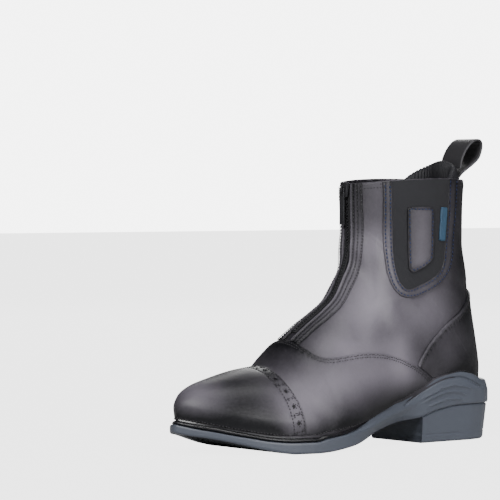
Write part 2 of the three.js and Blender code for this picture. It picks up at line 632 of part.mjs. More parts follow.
// Raised ribs on both sides of the cup, each a row of length share and cup height share
const RIB_LINES = [
  [[0.318, 0.60], [0.270, 0.69], [0.219, 0.78], [0.171, 0.80], [0.113, 0.74]],
  [[0.301, 0.56], [0.263, 0.64], [0.219, 0.71], [0.171, 0.71], [0.133, 0.65]],
  [[0.284, 0.51], [0.243, 0.575], [0.205, 0.613], [0.178, 0.612], [0.147, 0.58]],
];
const CUP_HEIGHT = 53;
const RIB_PROUD = 0.8;
const RIB_HALF = 0.9;
const wallLevels = soleLevels.slice(0, 5);
function wallInset(along, z) {
  const heights = wallLevels.map((level) => level.height(along));
  let k = 0;
  while (k < heights.length - 2 && z > heights[k + 1]) k += 1;
  const t = clamp((z - heights[k]) / Math.max(heights[k + 1] - heights[k], 1e-3), 0, 1);
  return mix(wallLevels[k].inset(along), wallLevels[k + 1].inset(along), t);
}
function ribSolid(line, side, proud, half) {
  const points = line.map(([along, share]) => new THREE.Vector2(along, share * CUP_HEIGHT));
  const path = new THREE.SplineCurve(points).getPoints(8);
  const body = new Body();
  const rings = path.map((p, i) => {
    const end = i === 0 || i === path.length - 1;
    const lift = end ? -0.2 : proud;
    const at = (inset, z) => {
      const [x, u] = outlinePoint(toTurn(p.x), side, inset);
      return place(x, u, z);
    };
    const inset = wallInset(p.x, p.y);
    return [at(inset + 0.9, p.y + half), at(inset - lift, p.y), at(inset + 0.9, p.y - half)];
  });
  for (let i = 0; i < rings.length - 1; i += 1) {
    body.strip([...rings[i], rings[i][0]], [...rings[i + 1], rings[i + 1][0]]);
  }
  body.triangle(...[...rings[0]].reverse());
  body.triangle(...rings[rings.length - 1]);
  return body.solid();
}
for (const line of RIB_LINES) {
  for (const side of [1, -1]) outsole = outsole.add(ribSolid(line, side, RIB_PROUD, RIB_HALF));
}

// Forefoot tread panel, set in a recess of the underside, with two flex bars across it
const PANEL_FROM = 0.555;
const PANEL_TO = 0.965;
const PANEL_INSET = 8.5;
const PANEL_DEPTH = 1.6;
function panelSolid(from, to, inset, low, high, square = 3.2, count = 16) {
  const body = new Body();
  const half = (side, lift) => spread(0, 1, count).map((t) => {
    const swing = -Math.cos(Math.PI * t);
    const along = mix(from, to, (1 + swing) / 2);
    const [x] = outlinePoint(toTurn(along), side, inset);
    const [other] = outlinePoint(toTurn(along), -side, inset);
    const full = (1 - Math.abs(swing) ** square) ** (1 / square);
    return place((x + other) / 2 + ((x - other) / 2) * full, along * SOLE_LENGTH, underside(along) + lift);
  });
  const [lowOuter, lowInner] = [half(1, low), half(-1, low)];
  const [highOuter, highInner] = [half(1, high), half(-1, high)];
  body.strip(lowOuter, lowInner);
  body.strip(highInner, highOuter);
  body.strip(highOuter, lowOuter);
  body.strip(lowInner, highInner);
  return body.solid();
}
outsole = outsole.subtract(panelSolid(PANEL_FROM, PANEL_TO, PANEL_INSET, -1, PANEL_DEPTH));
// A curved bar across the underside, as a band between two bowed lines
function crossBar(along, halfSpan, bow, width, low, high) {
  const body = new Body();
  const line = (shift, lift) => spread(-1, 1, 8).map((t) => {
    const here = along - (bow * (1 - t * t) - shift) / SOLE_LENGTH;
    const turn = toTurn(here);
    const middle = (outlinePoint(turn, 1, 0)[0] + outlinePoint(turn, -1, 0)[0]) / 2;
    return place(middle + t * halfSpan, here * SOLE_LENGTH, underside(here) + lift);
  });
  const [a, b] = [line(-width / 2, low), line(width / 2, low)];
  const [c, d] = [line(-width / 2, high), line(width / 2, high)];
  body.strip(a, b);
  body.strip(d, c);
  body.strip(c, a);
  body.strip(b, d);
  body.quad(a[0], b[0], d[0], c[0]);
  body.quad(a[8], c[8], d[8], b[8]);
  return body.solid();
}
const BARS = [['flex_bar_front', 0.80], ['flex_bar_rear', 0.665]];
const BAR_HALF_SPAN = 26;
const BAR_BOW = 7;
const BAR_WIDTH = 3.4;
let panel = panelSolid(PANEL_FROM, PANEL_TO, PANEL_INSET + CLEARANCE, 0, PANEL_DEPTH - CLEARANCE);
for (const [name, along] of BARS) {
  panel = panel.subtract(
    crossBar(along, BAR_HALF_SPAN + CLEARANCE, BAR_BOW, BAR_WIDTH + 2 * CLEARANCE, -1, PANEL_DEPTH + 1),
  );
  add(name, crossBar(along, BAR_HALF_SPAN, BAR_BOW, BAR_WIDTH, 0.1, PANEL_DEPTH - CLEARANCE), 0x2d4b70, 0.6);
}
add('tread_panel', panel, 0x3c3f45, 0.8);

// Waist badge and stripe, set in shallow recesses of the underside
const BADGE = { along: 0.475, halfLength: 16, halfWidth: 8.5 };
function ovalSolid({ along, halfLength, halfWidth }, grow, low, high, count = 20) {
  const body = new Body();
  const ring = (lift) => spread(0, 1, count).slice(0, count).map((t) => {
    const angle = 2 * Math.PI * t;
    const here = along + ((halfLength + grow) * Math.cos(angle)) / SOLE_LENGTH;
    return place((halfWidth + grow) * Math.sin(angle) + 2, here * SOLE_LENGTH, underside(here) + lift);
  });
  const [a, b] = [ring(low), ring(high)];
  const close = (loop) => [...loop, loop[0]];
  const half = count / 2;
  const fold = (loop) => [loop.slice(0, half + 1), [loop[0], ...loop.slice(half).reverse()]];
  body.strip(...fold(a));
  body.strip(...fold(b).reverse());
  body.strip(close(b), close(a));
  return body.solid();
}
outsole = outsole.subtract(ovalSolid(BADGE, CLEARANCE, -1, 1));
add('sole_badge', ovalSolid(BADGE, 0, 0.15, 1 - CLEARANCE), 0x2d4b70, 0.55);
const STRIPE = { along: 0.355, halfLength: 13, halfWidth: 1.7 };
outsole = outsole.subtract(ovalSolid(STRIPE, CLEARANCE, -1, 1));
add('waist_stripe', ovalSolid(STRIPE, 0, 0.15, 1 - CLEARANCE), 0x2d4b70, 0.55);
add('outsole', outsole.subtract(last), 0x5a5f6b, 0.6);

// Welt: a rolled strip on the ledge of the sole, around the forefoot
const WELT_FROM = 0.52;
const weltFoot = (a) => rimTop(a) + CLEARANCE;
const weltLevels = [
  { inset: () => 12, height: weltFoot },
  { inset: () => 2.4, height: weltFoot },
  { inset: () => WELT_SETBACK, height: (a) => mix(weltFoot(a), weltTop(a), 0.5) },
  { inset: () => 2.6, height: weltTop },
  { inset: () => 12, height: weltTop },
];
const weltRegion = sidePrism(
  [[WELT_FROM * SOLE_LENGTH, -1], [FAR, -1], [FAR, FAR], [WELT_FROM * SOLE_LENGTH, FAR]],
  -WIDE,
  WIDE,
);
add('welt', stacked(weltLevels, 0, 1, SOLE_STATIONS).intersect(weltRegion).subtract(last), 0x1d1d21, 0.4);

// The heel block under the cup, with its flat breast
const heelTo = (HEEL_START + HEEL_LENGTH) / SOLE_LENGTH;
const backness = (along) => 1 - smoothstep(0, 0.12, along);
const heelLevels = [
  { inset: (a) => HEEL_INSET + mix(HEEL_SIDE_TAPER, HEEL_BACK_TAPER, backness(a)), height: () => 0 },
  { inset: () => HEEL_INSET, height: (a) => underside(a) - CLEARANCE },
];
add('heel_block', stacked(heelLevels, 0, heelTo, 20), 0x565b67, 0.62);

// Insole on the seat, inside the wall
const INSOLE_THICKNESS = 3;
const insoleTop = spread(0, 1, 16).map((along) => [
  along * SOLE_LENGTH,
  seatTop(along) + CLEARANCE + INSOLE_THICKNESS,
]);
const insoleBand = sidePrism([...insoleTop, [SOLE_LENGTH, 0], [0, 0]], -WIDE, WIDE);
add('insole', lastForm(-LEATHER_WALL - CLEARANCE, 0).intersect(insoleBand), 0x2f2f33, 0.9);

// Comfort pad: a soft crescent around the back of the collar, rising over the rim
const PAD_SWEEP = 62;
const PAD_RISE = 16;
const PAD_DROP = 13;
const PAD_THICKNESS = 9;
const STRAP_ROOM = 7.4;
const PAD_GAP = 1.2;
const PAD_SECTIONS = 14;
const PAD_SIDES = 10;
const collarMiddle = (section.back(TOP_ROW) + section.top(TOP_ROW)) * SOLE_LENGTH / 2;
const collarHalf = (section.top(TOP_ROW) - section.back(TOP_ROW)) * SOLE_LENGTH / 2;
const COLLAR_BOW = 2;
const collarHeight = BOOT_HEIGHT + COLLAR_BOW;
function padSolid() {
  const body = new Body();
  const rings = spread(-1, 1, PAD_SECTIONS).map((t) => {
    const angle = THREE.MathUtils.degToRad(PAD_SWEEP * t);
    const swell = Math.sqrt(Math.max(1 - t * t, 0.02));
    const top = collarHeight + PAD_RISE * swell ** 1.4;
    const low = collarHeight - PAD_DROP * swell;
    const thick = (PAD_THICKNESS / 2) * (0.35 + 0.65 * swell);
    const behind = STRAP_ROOM * (1 - smoothstep(0.1, 0.75, Math.abs(Math.sin(angle))));
    const inwards = LEATHER_WALL + PAD_GAP + behind + thick;
    const [cx, cu] = [Math.sin(angle), -Math.cos(angle)];
    return spread(0, 1, PAD_SIDES).slice(0, PAD_SIDES).map((k) => {
      const turn = 2 * Math.PI * k;
      const reach = inwards - thick * Math.cos(turn);
      const x = (COLLAR_WIDTH / 2 - reach) * cx;
      const u = collarMiddle + (collarHalf - reach) * cu;
      return place(x, u, (top + low) / 2 + ((top - low) / 2) * Math.sin(turn));
    });
  });
  for (let i = 0; i < rings.length - 1; i += 1) {
    body.strip([...rings[i], rings[i][0]], [...rings[i + 1], rings[i + 1][0]]);
  }
  for (const [ring, turned] of [[rings[0], true], [rings[rings.length - 1], false]]) {
    for (let k = 1; k < ring.length - 1; k += 1) {
      const face = [ring[0], ring[k], ring[k + 1]];
      body.triangle(...(turned ? face.reverse() : face));
    }
  }
  return body.solid();
}
add('collar_pad', padSolid(), 0x1b1b1e, 0.5);

// Pull loop: a folded strap that leans back over the pad, sewn on the outside of the back
const LOOP_WIDTH = 24;
const STRAP_THICKNESS = 1.8;
// Rows of the strap's middle line: length share, and rise above the collar in strap widths
const LOOP_LINE = [
  [0.0900, 0.420], [0.0868, 0.640], [0.0794, 0.850], [0.0677, 1.062], [0.0496, 1.262], [0.0308, 1.342],
  [0.0168, 1.283], [0.0147, 1.083], [0.0246, 0.783], [0.0441, 0.583], [0.0680, 0.405], [0.0880, 0.240],
  [0.1000, 0.062], [0.1026, -0.125], [0.1030, -0.375],
];
function loopSolid() {
  const points = LOOP_LINE.map(
    ([along, up]) => new THREE.Vector2(along * SOLE_LENGTH, collarHeight + up * LOOP_WIDTH),
  );
  const curve = new THREE.SplineCurve(points);
  const steps = 22;
  const sideOf = (sign) => spread(0, 1, steps).map((t) => {
    const p = curve.getPoint(t);
    const d = curve.getTangent(t);
    return [p.x - d.y * sign * STRAP_THICKNESS / 2, p.y + d.x * sign * STRAP_THICKNESS / 2];
  });
  return sidePrism([...sideOf(1), ...sideOf(-1).reverse()], -LOOP_WIDTH / 2, LOOP_WIDTH / 2);
}
add('pull_loop', loopSolid(), 0x1c1c20, 0.45);

// Zip slider, parked at the top of the chain, with its bridge, and the pull tab that hangs from it
const frontBasis = new THREE.Matrix4().makeBasis(
  new THREE.Vector3(1, 0, 0),
  new THREE.Vector3(0, 0, 1),
  new THREE.Vector3(0, -1, 0),
);
function frontPrism(outline, uFrom, uTo) {
  const shape = new THREE.Shape(outline.map(([x, z]) => new THREE.Vector2(x, z)));
  const geometry = new THREE.ExtrudeGeometry(shape, { depth: uTo - uFrom, bevelEnabled: false });
  geometry.applyMatrix4(frontBasis);
  geometry.translate(0, HEEL_CENTRE - uFrom, 0);
  return fromGeometry(geometry);
}
const frontBox = (x0, x1, u0, u1, z0, z1) => frontPrism([[x0, z0], [x1, z0], [x1, z1], [x0, z1]], u0, u1);
// The slider and the hinge of its pull tab, placed from the front line and the collar
const frontLine = section.top(TOP_ROW) * SOLE_LENGTH;
const HINGE = { u: frontLine + 5.865, z: BOOT_HEIGHT - 4 };
const SLIDER = {
  top: BOOT_HEIGHT + 1,
  bottom: BOOT_HEIGHT - 10,
  halfTop: 4,
  halfBottom: 2.6,
  stem: frontLine + 1.365,
  back: frontLine + 1.965,
  front: frontLine + 4.465,
};
const BRIDGE = { half: 1, reach: 2, tall: 3, bore: 1.1 };
const TAB = { length: 27, halfWidth: 2.6, thickness: 1, pin: 0.5, slot: 5, legs: 1.4 };
const sliderBody = frontPrism([
  [-SLIDER.halfBottom, SLIDER.bottom], [SLIDER.halfBottom, SLIDER.bottom],
  [SLIDER.halfTop, SLIDER.bottom + 4], [SLIDER.halfTop, SLIDER.top - 1],
  [SLIDER.halfTop - 1, SLIDER.top], [1 - SLIDER.halfTop, SLIDER.top],
  [-SLIDER.halfTop, SLIDER.top - 1], [-SLIDER.halfTop, SLIDER.bottom + 4],
], SLIDER.back, SLIDER.front);
const bridgeOuter = sidePrism([
  [SLIDER.front - 0.5, HINGE.z - BRIDGE.tall], [HINGE.u + 0.6, HINGE.z - BRIDGE.tall],
  [HINGE.u + BRIDGE.reach, HINGE.z - 1.4], [HINGE.u + BRIDGE.reach, HINGE.z + 1.4],
  [HINGE.u + 0.6, HINGE.z + BRIDGE.tall], [SLIDER.front - 0.5, HINGE.z + BRIDGE.tall],
], -BRIDGE.half, BRIDGE.half);
const bore = sidePrism([
  [SLIDER.front, HINGE.z - BRIDGE.bore], [HINGE.u + BRIDGE.bore, HINGE.z - BRIDGE.bore],
  [HINGE.u + BRIDGE.bore, HINGE.z + BRIDGE.bore], [SLIDER.front, HINGE.z + BRIDGE.bore],
], -BRIDGE.half - 1, BRIDGE.half + 1);
const sliderStem = frontBox(-1.5, 1.5, SLIDER.stem, SLIDER.back + 0.5, SLIDER.bottom + 1, SLIDER.top - 2);
add('zip_slider', sliderBody.add(bridgeOuter).subtract(bore).add(sliderStem), 0x2a2a2d, 0.3, 0.85);
const tabFrom = HINGE.u - TAB.thickness / 2;
const tabPlate = frontPrism([
  [-TAB.halfWidth, HINGE.z + 0.9], [-TAB.halfWidth, HINGE.z - TAB.length + 1.5],
  [1.5 - TAB.halfWidth, HINGE.z - TAB.length], [TAB.halfWidth - 1.5, HINGE.z - TAB.length],
  [TAB.halfWidth, HINGE.z - TAB.length + 1.5], [TAB.halfWidth, HINGE.z + 0.9],
], tabFrom, tabFrom + TAB.thickness);
const tabSlot = frontBox(-TAB.legs, TAB.legs, tabFrom - 1, tabFrom + 2, HINGE.z - TAB.slot, HINGE.z + 2);
const pin = frontBox(-TAB.halfWidth + 0.3, TAB.halfWidth - 0.3, HINGE.u - TAB.pin, HINGE.u + TAB.pin,
  HINGE.z - TAB.pin, HINGE.z + TAB.pin);
add('zip_pull_tab', tabPlate.subtract(tabSlot).add(pin), 0x2a2a2d, 0.3, 0.85);

export default boot;
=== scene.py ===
"""Left ankle boot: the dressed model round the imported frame. Sizes are in millimetres in the classes
and become metres where a mesh is made. Length runs forward from the back of the sole unit."""
import logging
import math
from dataclasses import dataclass
from enum import Enum
from functools import lru_cache
from typing import Callable, Sequence

import bmesh
import bpy
import numpy as np
from mathutils import Matrix, Vector


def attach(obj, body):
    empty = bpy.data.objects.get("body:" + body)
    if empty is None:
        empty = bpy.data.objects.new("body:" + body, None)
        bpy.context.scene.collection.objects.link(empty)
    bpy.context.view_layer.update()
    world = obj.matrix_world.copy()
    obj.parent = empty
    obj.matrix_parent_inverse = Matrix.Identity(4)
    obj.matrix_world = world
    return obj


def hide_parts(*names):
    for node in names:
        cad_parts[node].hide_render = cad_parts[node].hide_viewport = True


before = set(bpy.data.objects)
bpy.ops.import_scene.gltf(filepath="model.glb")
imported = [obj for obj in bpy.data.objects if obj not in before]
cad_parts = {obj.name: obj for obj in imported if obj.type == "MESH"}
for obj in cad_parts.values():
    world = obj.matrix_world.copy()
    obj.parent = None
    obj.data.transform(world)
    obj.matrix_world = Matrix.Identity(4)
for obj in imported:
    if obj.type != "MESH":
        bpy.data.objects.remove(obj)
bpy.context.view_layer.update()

logging.basicConfig(level=logging.INFO, format="%(message)s")
log = logging.getLogger("boot")

Array = np.ndarray
HEEL_CENTRE = 45.0
CLEARANCE = 0.3


# Numeric helpers


def mix(a: float | Array, b: float | Array, t: float | Array) -> float | Array:
    """Straight-line blend from a to b."""
    return a + (b - a) * t


def smoothstep(lo: float, hi: float, v: float | Array) -> Array:
    """Smooth ramp from 0 at lo to 1 at hi."""
    t = np.clip((np.asarray(v, float) - lo) / (hi - lo), 0, 1)
    return t * t * (3 - 2 * t)


def bell(distance: Array, half: float) -> Array:
    """Smooth hump of height 1 at 0 that ends at half on both sides."""
    t = np.clip(np.abs(distance) / half, 0, 1)
    return (1 - t * t) ** 2


class Curve:
    """A smooth curve through given values that never overshoots them."""

    def __init__(self, xs: Sequence[float], ys: Sequence[float]) -> None:
        """Prepares the slopes.

        Args:
            xs: Rising positions.
            ys: Values at them.
        """
        self.xs, self.ys = np.asarray(xs, float), np.asarray(ys, float)
        gap = np.diff(self.xs)
        rise = np.diff(self.ys) / gap
        slope = np.zeros(len(self.xs))
        slope[0], slope[-1] = rise[0], rise[-1]
        for i in range(1, len(self.xs) - 1):
            if rise[i - 1] * rise[i] > 0:
                w0, w1 = 2 * gap[i] + gap[i - 1], gap[i] + 2 * gap[i - 1]
                slope[i] = (w0 + w1) / (w0 / rise[i - 1] + w1 / rise[i])
        self.slope = slope

    def __call__(self, at: float | Array) -> Array:
        """Value of the curve at a position or an array of them.

        Args:
            at: Positions.

        Returns:
            The values there.
        """
        x = np.clip(np.asarray(at, float), self.xs[0], self.xs[-1])
        i = np.clip(np.searchsorted(self.xs, x, side="left") - 1, 0, len(self.xs) - 2)
        h = self.xs[i + 1] - self.xs[i]
        t = (x - self.xs[i]) / h
        a = (2 * t**3 - 3 * t**2 + 1) * self.ys[i] + (t**3 - 2 * t**2 + t) * h * self.slope[i]
        b = (3 * t**2 - 2 * t**3) * self.ys[i + 1] + (t**3 - t**2) * h * self.slope[i + 1]
        return a + b


def spline(points: Sequence[Sequence[float]], step: float = 0.8) -> Array:
    """A smooth line through points, resampled at an even step.

    Args:
        points: Given points of any dimension.
        step: Distance between the new points.

    Returns:
        The points of the line.
    """
    p = np.asarray(points, float)
    if len(p) < 3:
        dense = np.array([mix(p[0], p[-1], t) for t in np.linspace(0, 1, 50)])
    else:
        q = np.vstack([2 * p[0] - p[1], p, 2 * p[-1] - p[-2]])
        dense = []
        for i in range(1, len(q) - 2):
            a, b, c, d = q[i - 1 : i + 3]
            for t in np.linspace(0, 1, 24, endpoint=False):
                dense.append(0.5 * (2 * b + (c - a) * t + (2 * a - 5 * b + 4 * c - d) * t**2
                                    + (3 * b - a - 3 * c + d) * t**3))
        dense = np.array(dense + [p[-1]])
    return resample(dense, step)


@lru_cache(maxsize=64)
def fixed_line(points: tuple, step: float) -> Array:
    """A smooth line through fixed points, worked out once."""
    return spline(points, step)


def run_along(line: Array) -> Array:
    """Distance along a line at each of its points."""
    return np.concatenate([[0], np.cumsum(np.linalg.norm(np.diff(line, axis=0), axis=1))])


def resample(line: Array, step: float, offset: float = 0.0) -> Array:
    """The same line with points at an even distance."""
    run = run_along(line)
    count = max(2, int(round((run[-1] - 2 * offset) / step)) + 1)
    at = np.linspace(offset, run[-1] - offset, count)
    return np.stack([np.interp(at, run, line[:, k]) for k in range(line.shape[1])], -1)


def line_distance(points: Array, line: Array, closed: bool = False) -> Array:
    """Distance from points to a line of straight steps, in any dimension.

    Args:
        points: Points to test.
        line: Points of the line.
        closed: Whether the last point joins the first.

    Returns:
        One distance for each point.
    """
    a = line if closed else line[:-1]
    b = np.roll(line, -1, axis=0) if closed else line[1:]
    best = np.full(len(points), 1e9)
    span = b - a
    length = np.maximum((span**2).sum(1), 1e-12)
    for start in range(0, len(points), 4000):
        p = points[start : start + 4000, None, :]
        t = np.clip(((p - a[None]) * span[None]).sum(-1) / length, 0, 1)
        near = a[None] + span[None] * t[..., None]
        best[start : start + 4000] = np.sqrt(((p - near) ** 2).sum(-1)).min(1)
    return best


def inside(points: Array, outline: Array) -> Array:
    """True for each flat point that lies in a closed outline.

    Args:
        points: Points to test.
        outline: Points of the closed outline.

    Returns:
        One truth value for each point.
    """
    result = np.zeros(len(points), bool)
    x, y = points[:, 0], points[:, 1]
    for (x0, y0), (x1, y1) in zip(outline, np.roll(outline, -1, axis=0)):
        crosses = (y0 > y) != (y1 > y)
        safe = y1 - y0 if y1 != y0 else 1e-9
        result ^= crosses & (x < (x1 - x0) * (y - y0) / safe + x0)
    return result


def signed(points: Array, outline: Array) -> Array:
    """Distance to a closed outline, positive inside."""
    distance = line_distance(points, outline, closed=True)
    return np.where(inside(points, outline), distance, -distance)


def to_frame(x: Array, u: Array, z: Array) -> Array:
    """Points of the boot in metres, from the sideways place, the length and the height."""
    return np.stack([np.asarray(x, float), HEEL_CENTRE - np.asarray(u, float), np.asarray(z, float)],
                    -1) / 1000


def framed(points: Array) -> Array:
    """Points given as sideways place, length and height, in metres in the frame."""
    return to_frame(points[:, 0], points[:, 1], points[:, 2])


# The shape of the sole and of the upper, as in the part's source


def to_turn(along: float | Array) -> Array:
    """Turning position on the outline for a share of the length."""
    return np.arccos(1 - 2 * np.clip(along, 0, 1)) / math.pi


def to_along(turn: float | Array) -> Array:
    """Share of the length for a turning position."""
    return (1 - np.cos(math.pi * np.asarray(turn, float))) / 2


@dataclass
class SoleForm:
    """Plan outline and heights of the sole unit."""

    length: float = 292.3
    ball_width: float = 102.5
    heel_width: float = 68.0
    heel_rise: float = 28.0
    toe_spring: float = 16.2
    thickness: float = 8.2
    seat_thickness: float = 4.5
    cup_lip: float = 9.0
    welt_height: float = 5.0
    heel_start: float = 4.5
    heel_length: float = 80.1

    OUTLINE = (
        (0, 0, 0), (0.010, 0.206, 0.206), (0.034, 0.360, 0.360), (0.075, 0.463, 0.463),
        (0.137, 0.500, 0.493), (0.205, 0.500, 0.478), (0.291, 0.500, 0.434), (0.359, 0.506, 0.394),
        (0.428, 0.506, 0.375), (0.496, 0.511, 0.401), (0.554, 0.512, 0.441), (0.609, 0.508, 0.474),
        (0.667, 0.498, 0.493), (0.729, 0.463, 0.493), (0.797, 0.395, 0.463), (0.866, 0.302, 0.400),
        (0.924, 0.195, 0.312), (0.965, 0.088, 0.220), (0.989, 0.005, 0.137), (1, -0.054, 0.054),
    )
    HEIGHTS = (
        (0, 0.96, 0, 1.34, 0.89, 0), (0.027, 0.98, 0, 1.24, 0.85, 0), (0.058, 1.00, 0, 1.20, 0.87, 0),
        (0.113, 1.00, 0, 1.71, 1.00, 0), (0.164, 0.99, 0, 1.98, 1.00, 0), (0.233, 0.90, 0, 1.96, 0.99, 0),
        (0.304, 0.70, 0, 1.63, 0.89, 0), (0.383, 0.60, 0, 1.06, 0.89, 0), (0.445, 0.46, 0, 1.04, 0.64, 0),
        (0.503, 0.30, 0, 1.09, 0.53, 0.02), (0.564, 0.16, 0, 1.16, 0.14, 0.62),
        (0.609, 0.08, 0, 1.22, 0, 0.88),
        (0.653, 0.02, 0, 1.21, 0, 0.92), (0.690, 0, 0, 1.00, 0, 1.00), (0.745, 0, 0, 1.00, 0, 1.02),
        (0.811, 0, 0.19, 0.81, 0, 1.04), (0.859, 0, 0.41, 0.71, 0, 1.00), (0.903, 0, 0.62, 0.61, 0, 1.06),
        (0.944, 0, 0.79, 0.60, 0, 1.14), (0.978, 0, 0.89, 0.70, 0, 1.12), (1, 0, 1, 0.74, 0, 0.94),
    )

    def __post_init__(self) -> None:
        """Turns the tables into curves."""
        turns = [float(to_turn(row[0])) for row in self.OUTLINE]
        self.outer = Curve(turns, [row[1] for row in self.OUTLINE])
        self.inner = Curve(turns, [row[2] for row in self.OUTLINE])
        at = [row[0] for row in self.HEIGHTS]
        columns = ("heel", "toe", "side", "lip", "welt")
        self.shares = {name: Curve(at, [row[k + 1] for row in self.HEIGHTS]) for k,
                       name in enumerate(columns)}

    def underside(self, along: Array) -> Array:
        """Height of the underside."""
        return self.shares["heel"](along) * self.heel_rise + self.shares["toe"](along) * self.toe_spring

    def side_top(self, along: Array) -> Array:
        """Height of the top of the side face."""
        return self.underside(along) + self.shares["side"](along) * self.thickness

    def rim_top(self, along: Array) -> Array:
        """Height of the ledge, and of the cup round the heel."""
        return self.side_top(along) + self.shares["lip"](along) * self.cup_lip

    def welt_top(self, along: Array) -> Array:
        """Height of the top of the welt."""
        return self.rim_top(along) + self.shares["welt"](along) * self.welt_height

    def seat_top(self, along: Array) -> Array:
        """Height of the seat that the upper stands on."""
        return self.underside(along) + self.seat_thickness

    def outline(self, turn: Array, side: Array, inset: Array) -> tuple[Array, Array]:
        """Point of the plan outline, moved inwards.

        Args:
            turn: Turning position, 0 at the back and 1 at the toe.
            side: 1 on the outer edge, -1 on the inner.
            inset: Distance inwards.

        Returns:
            The sideways place and the length.
        """
        turn, side = np.broadcast_arrays(np.asarray(turn, float), np.asarray(side, float))

        def bare(t: Array) -> tuple[Array, Array]:
            """Point of the outline before it is moved."""
            along = to_along(t)
            share = np.where(side > 0, self.outer(t), -self.inner(t))
            width = mix(self.heel_width, self.ball_width, smoothstep(0.30, 0.62, along))
            return share * width, along * self.length

        step = 0.002
        x0, u0 = bare(np.maximum(turn - step, 0))
        x1, u1 = bare(np.minimum(turn + step, 1))
        x, u = bare(turn)
        nx, nu = (u1 - u0) * side, -(x1 - x0) * side
        nx = np.where((turn < step) | (turn > 1 - step), 0, nx)
        nu = np.where(turn < step, -1.0, np.where(turn > 1 - step, 1.0, nu))
        size = np.hypot(nx, nu)
        return x - nx / size * inset, u - nu / size * inset


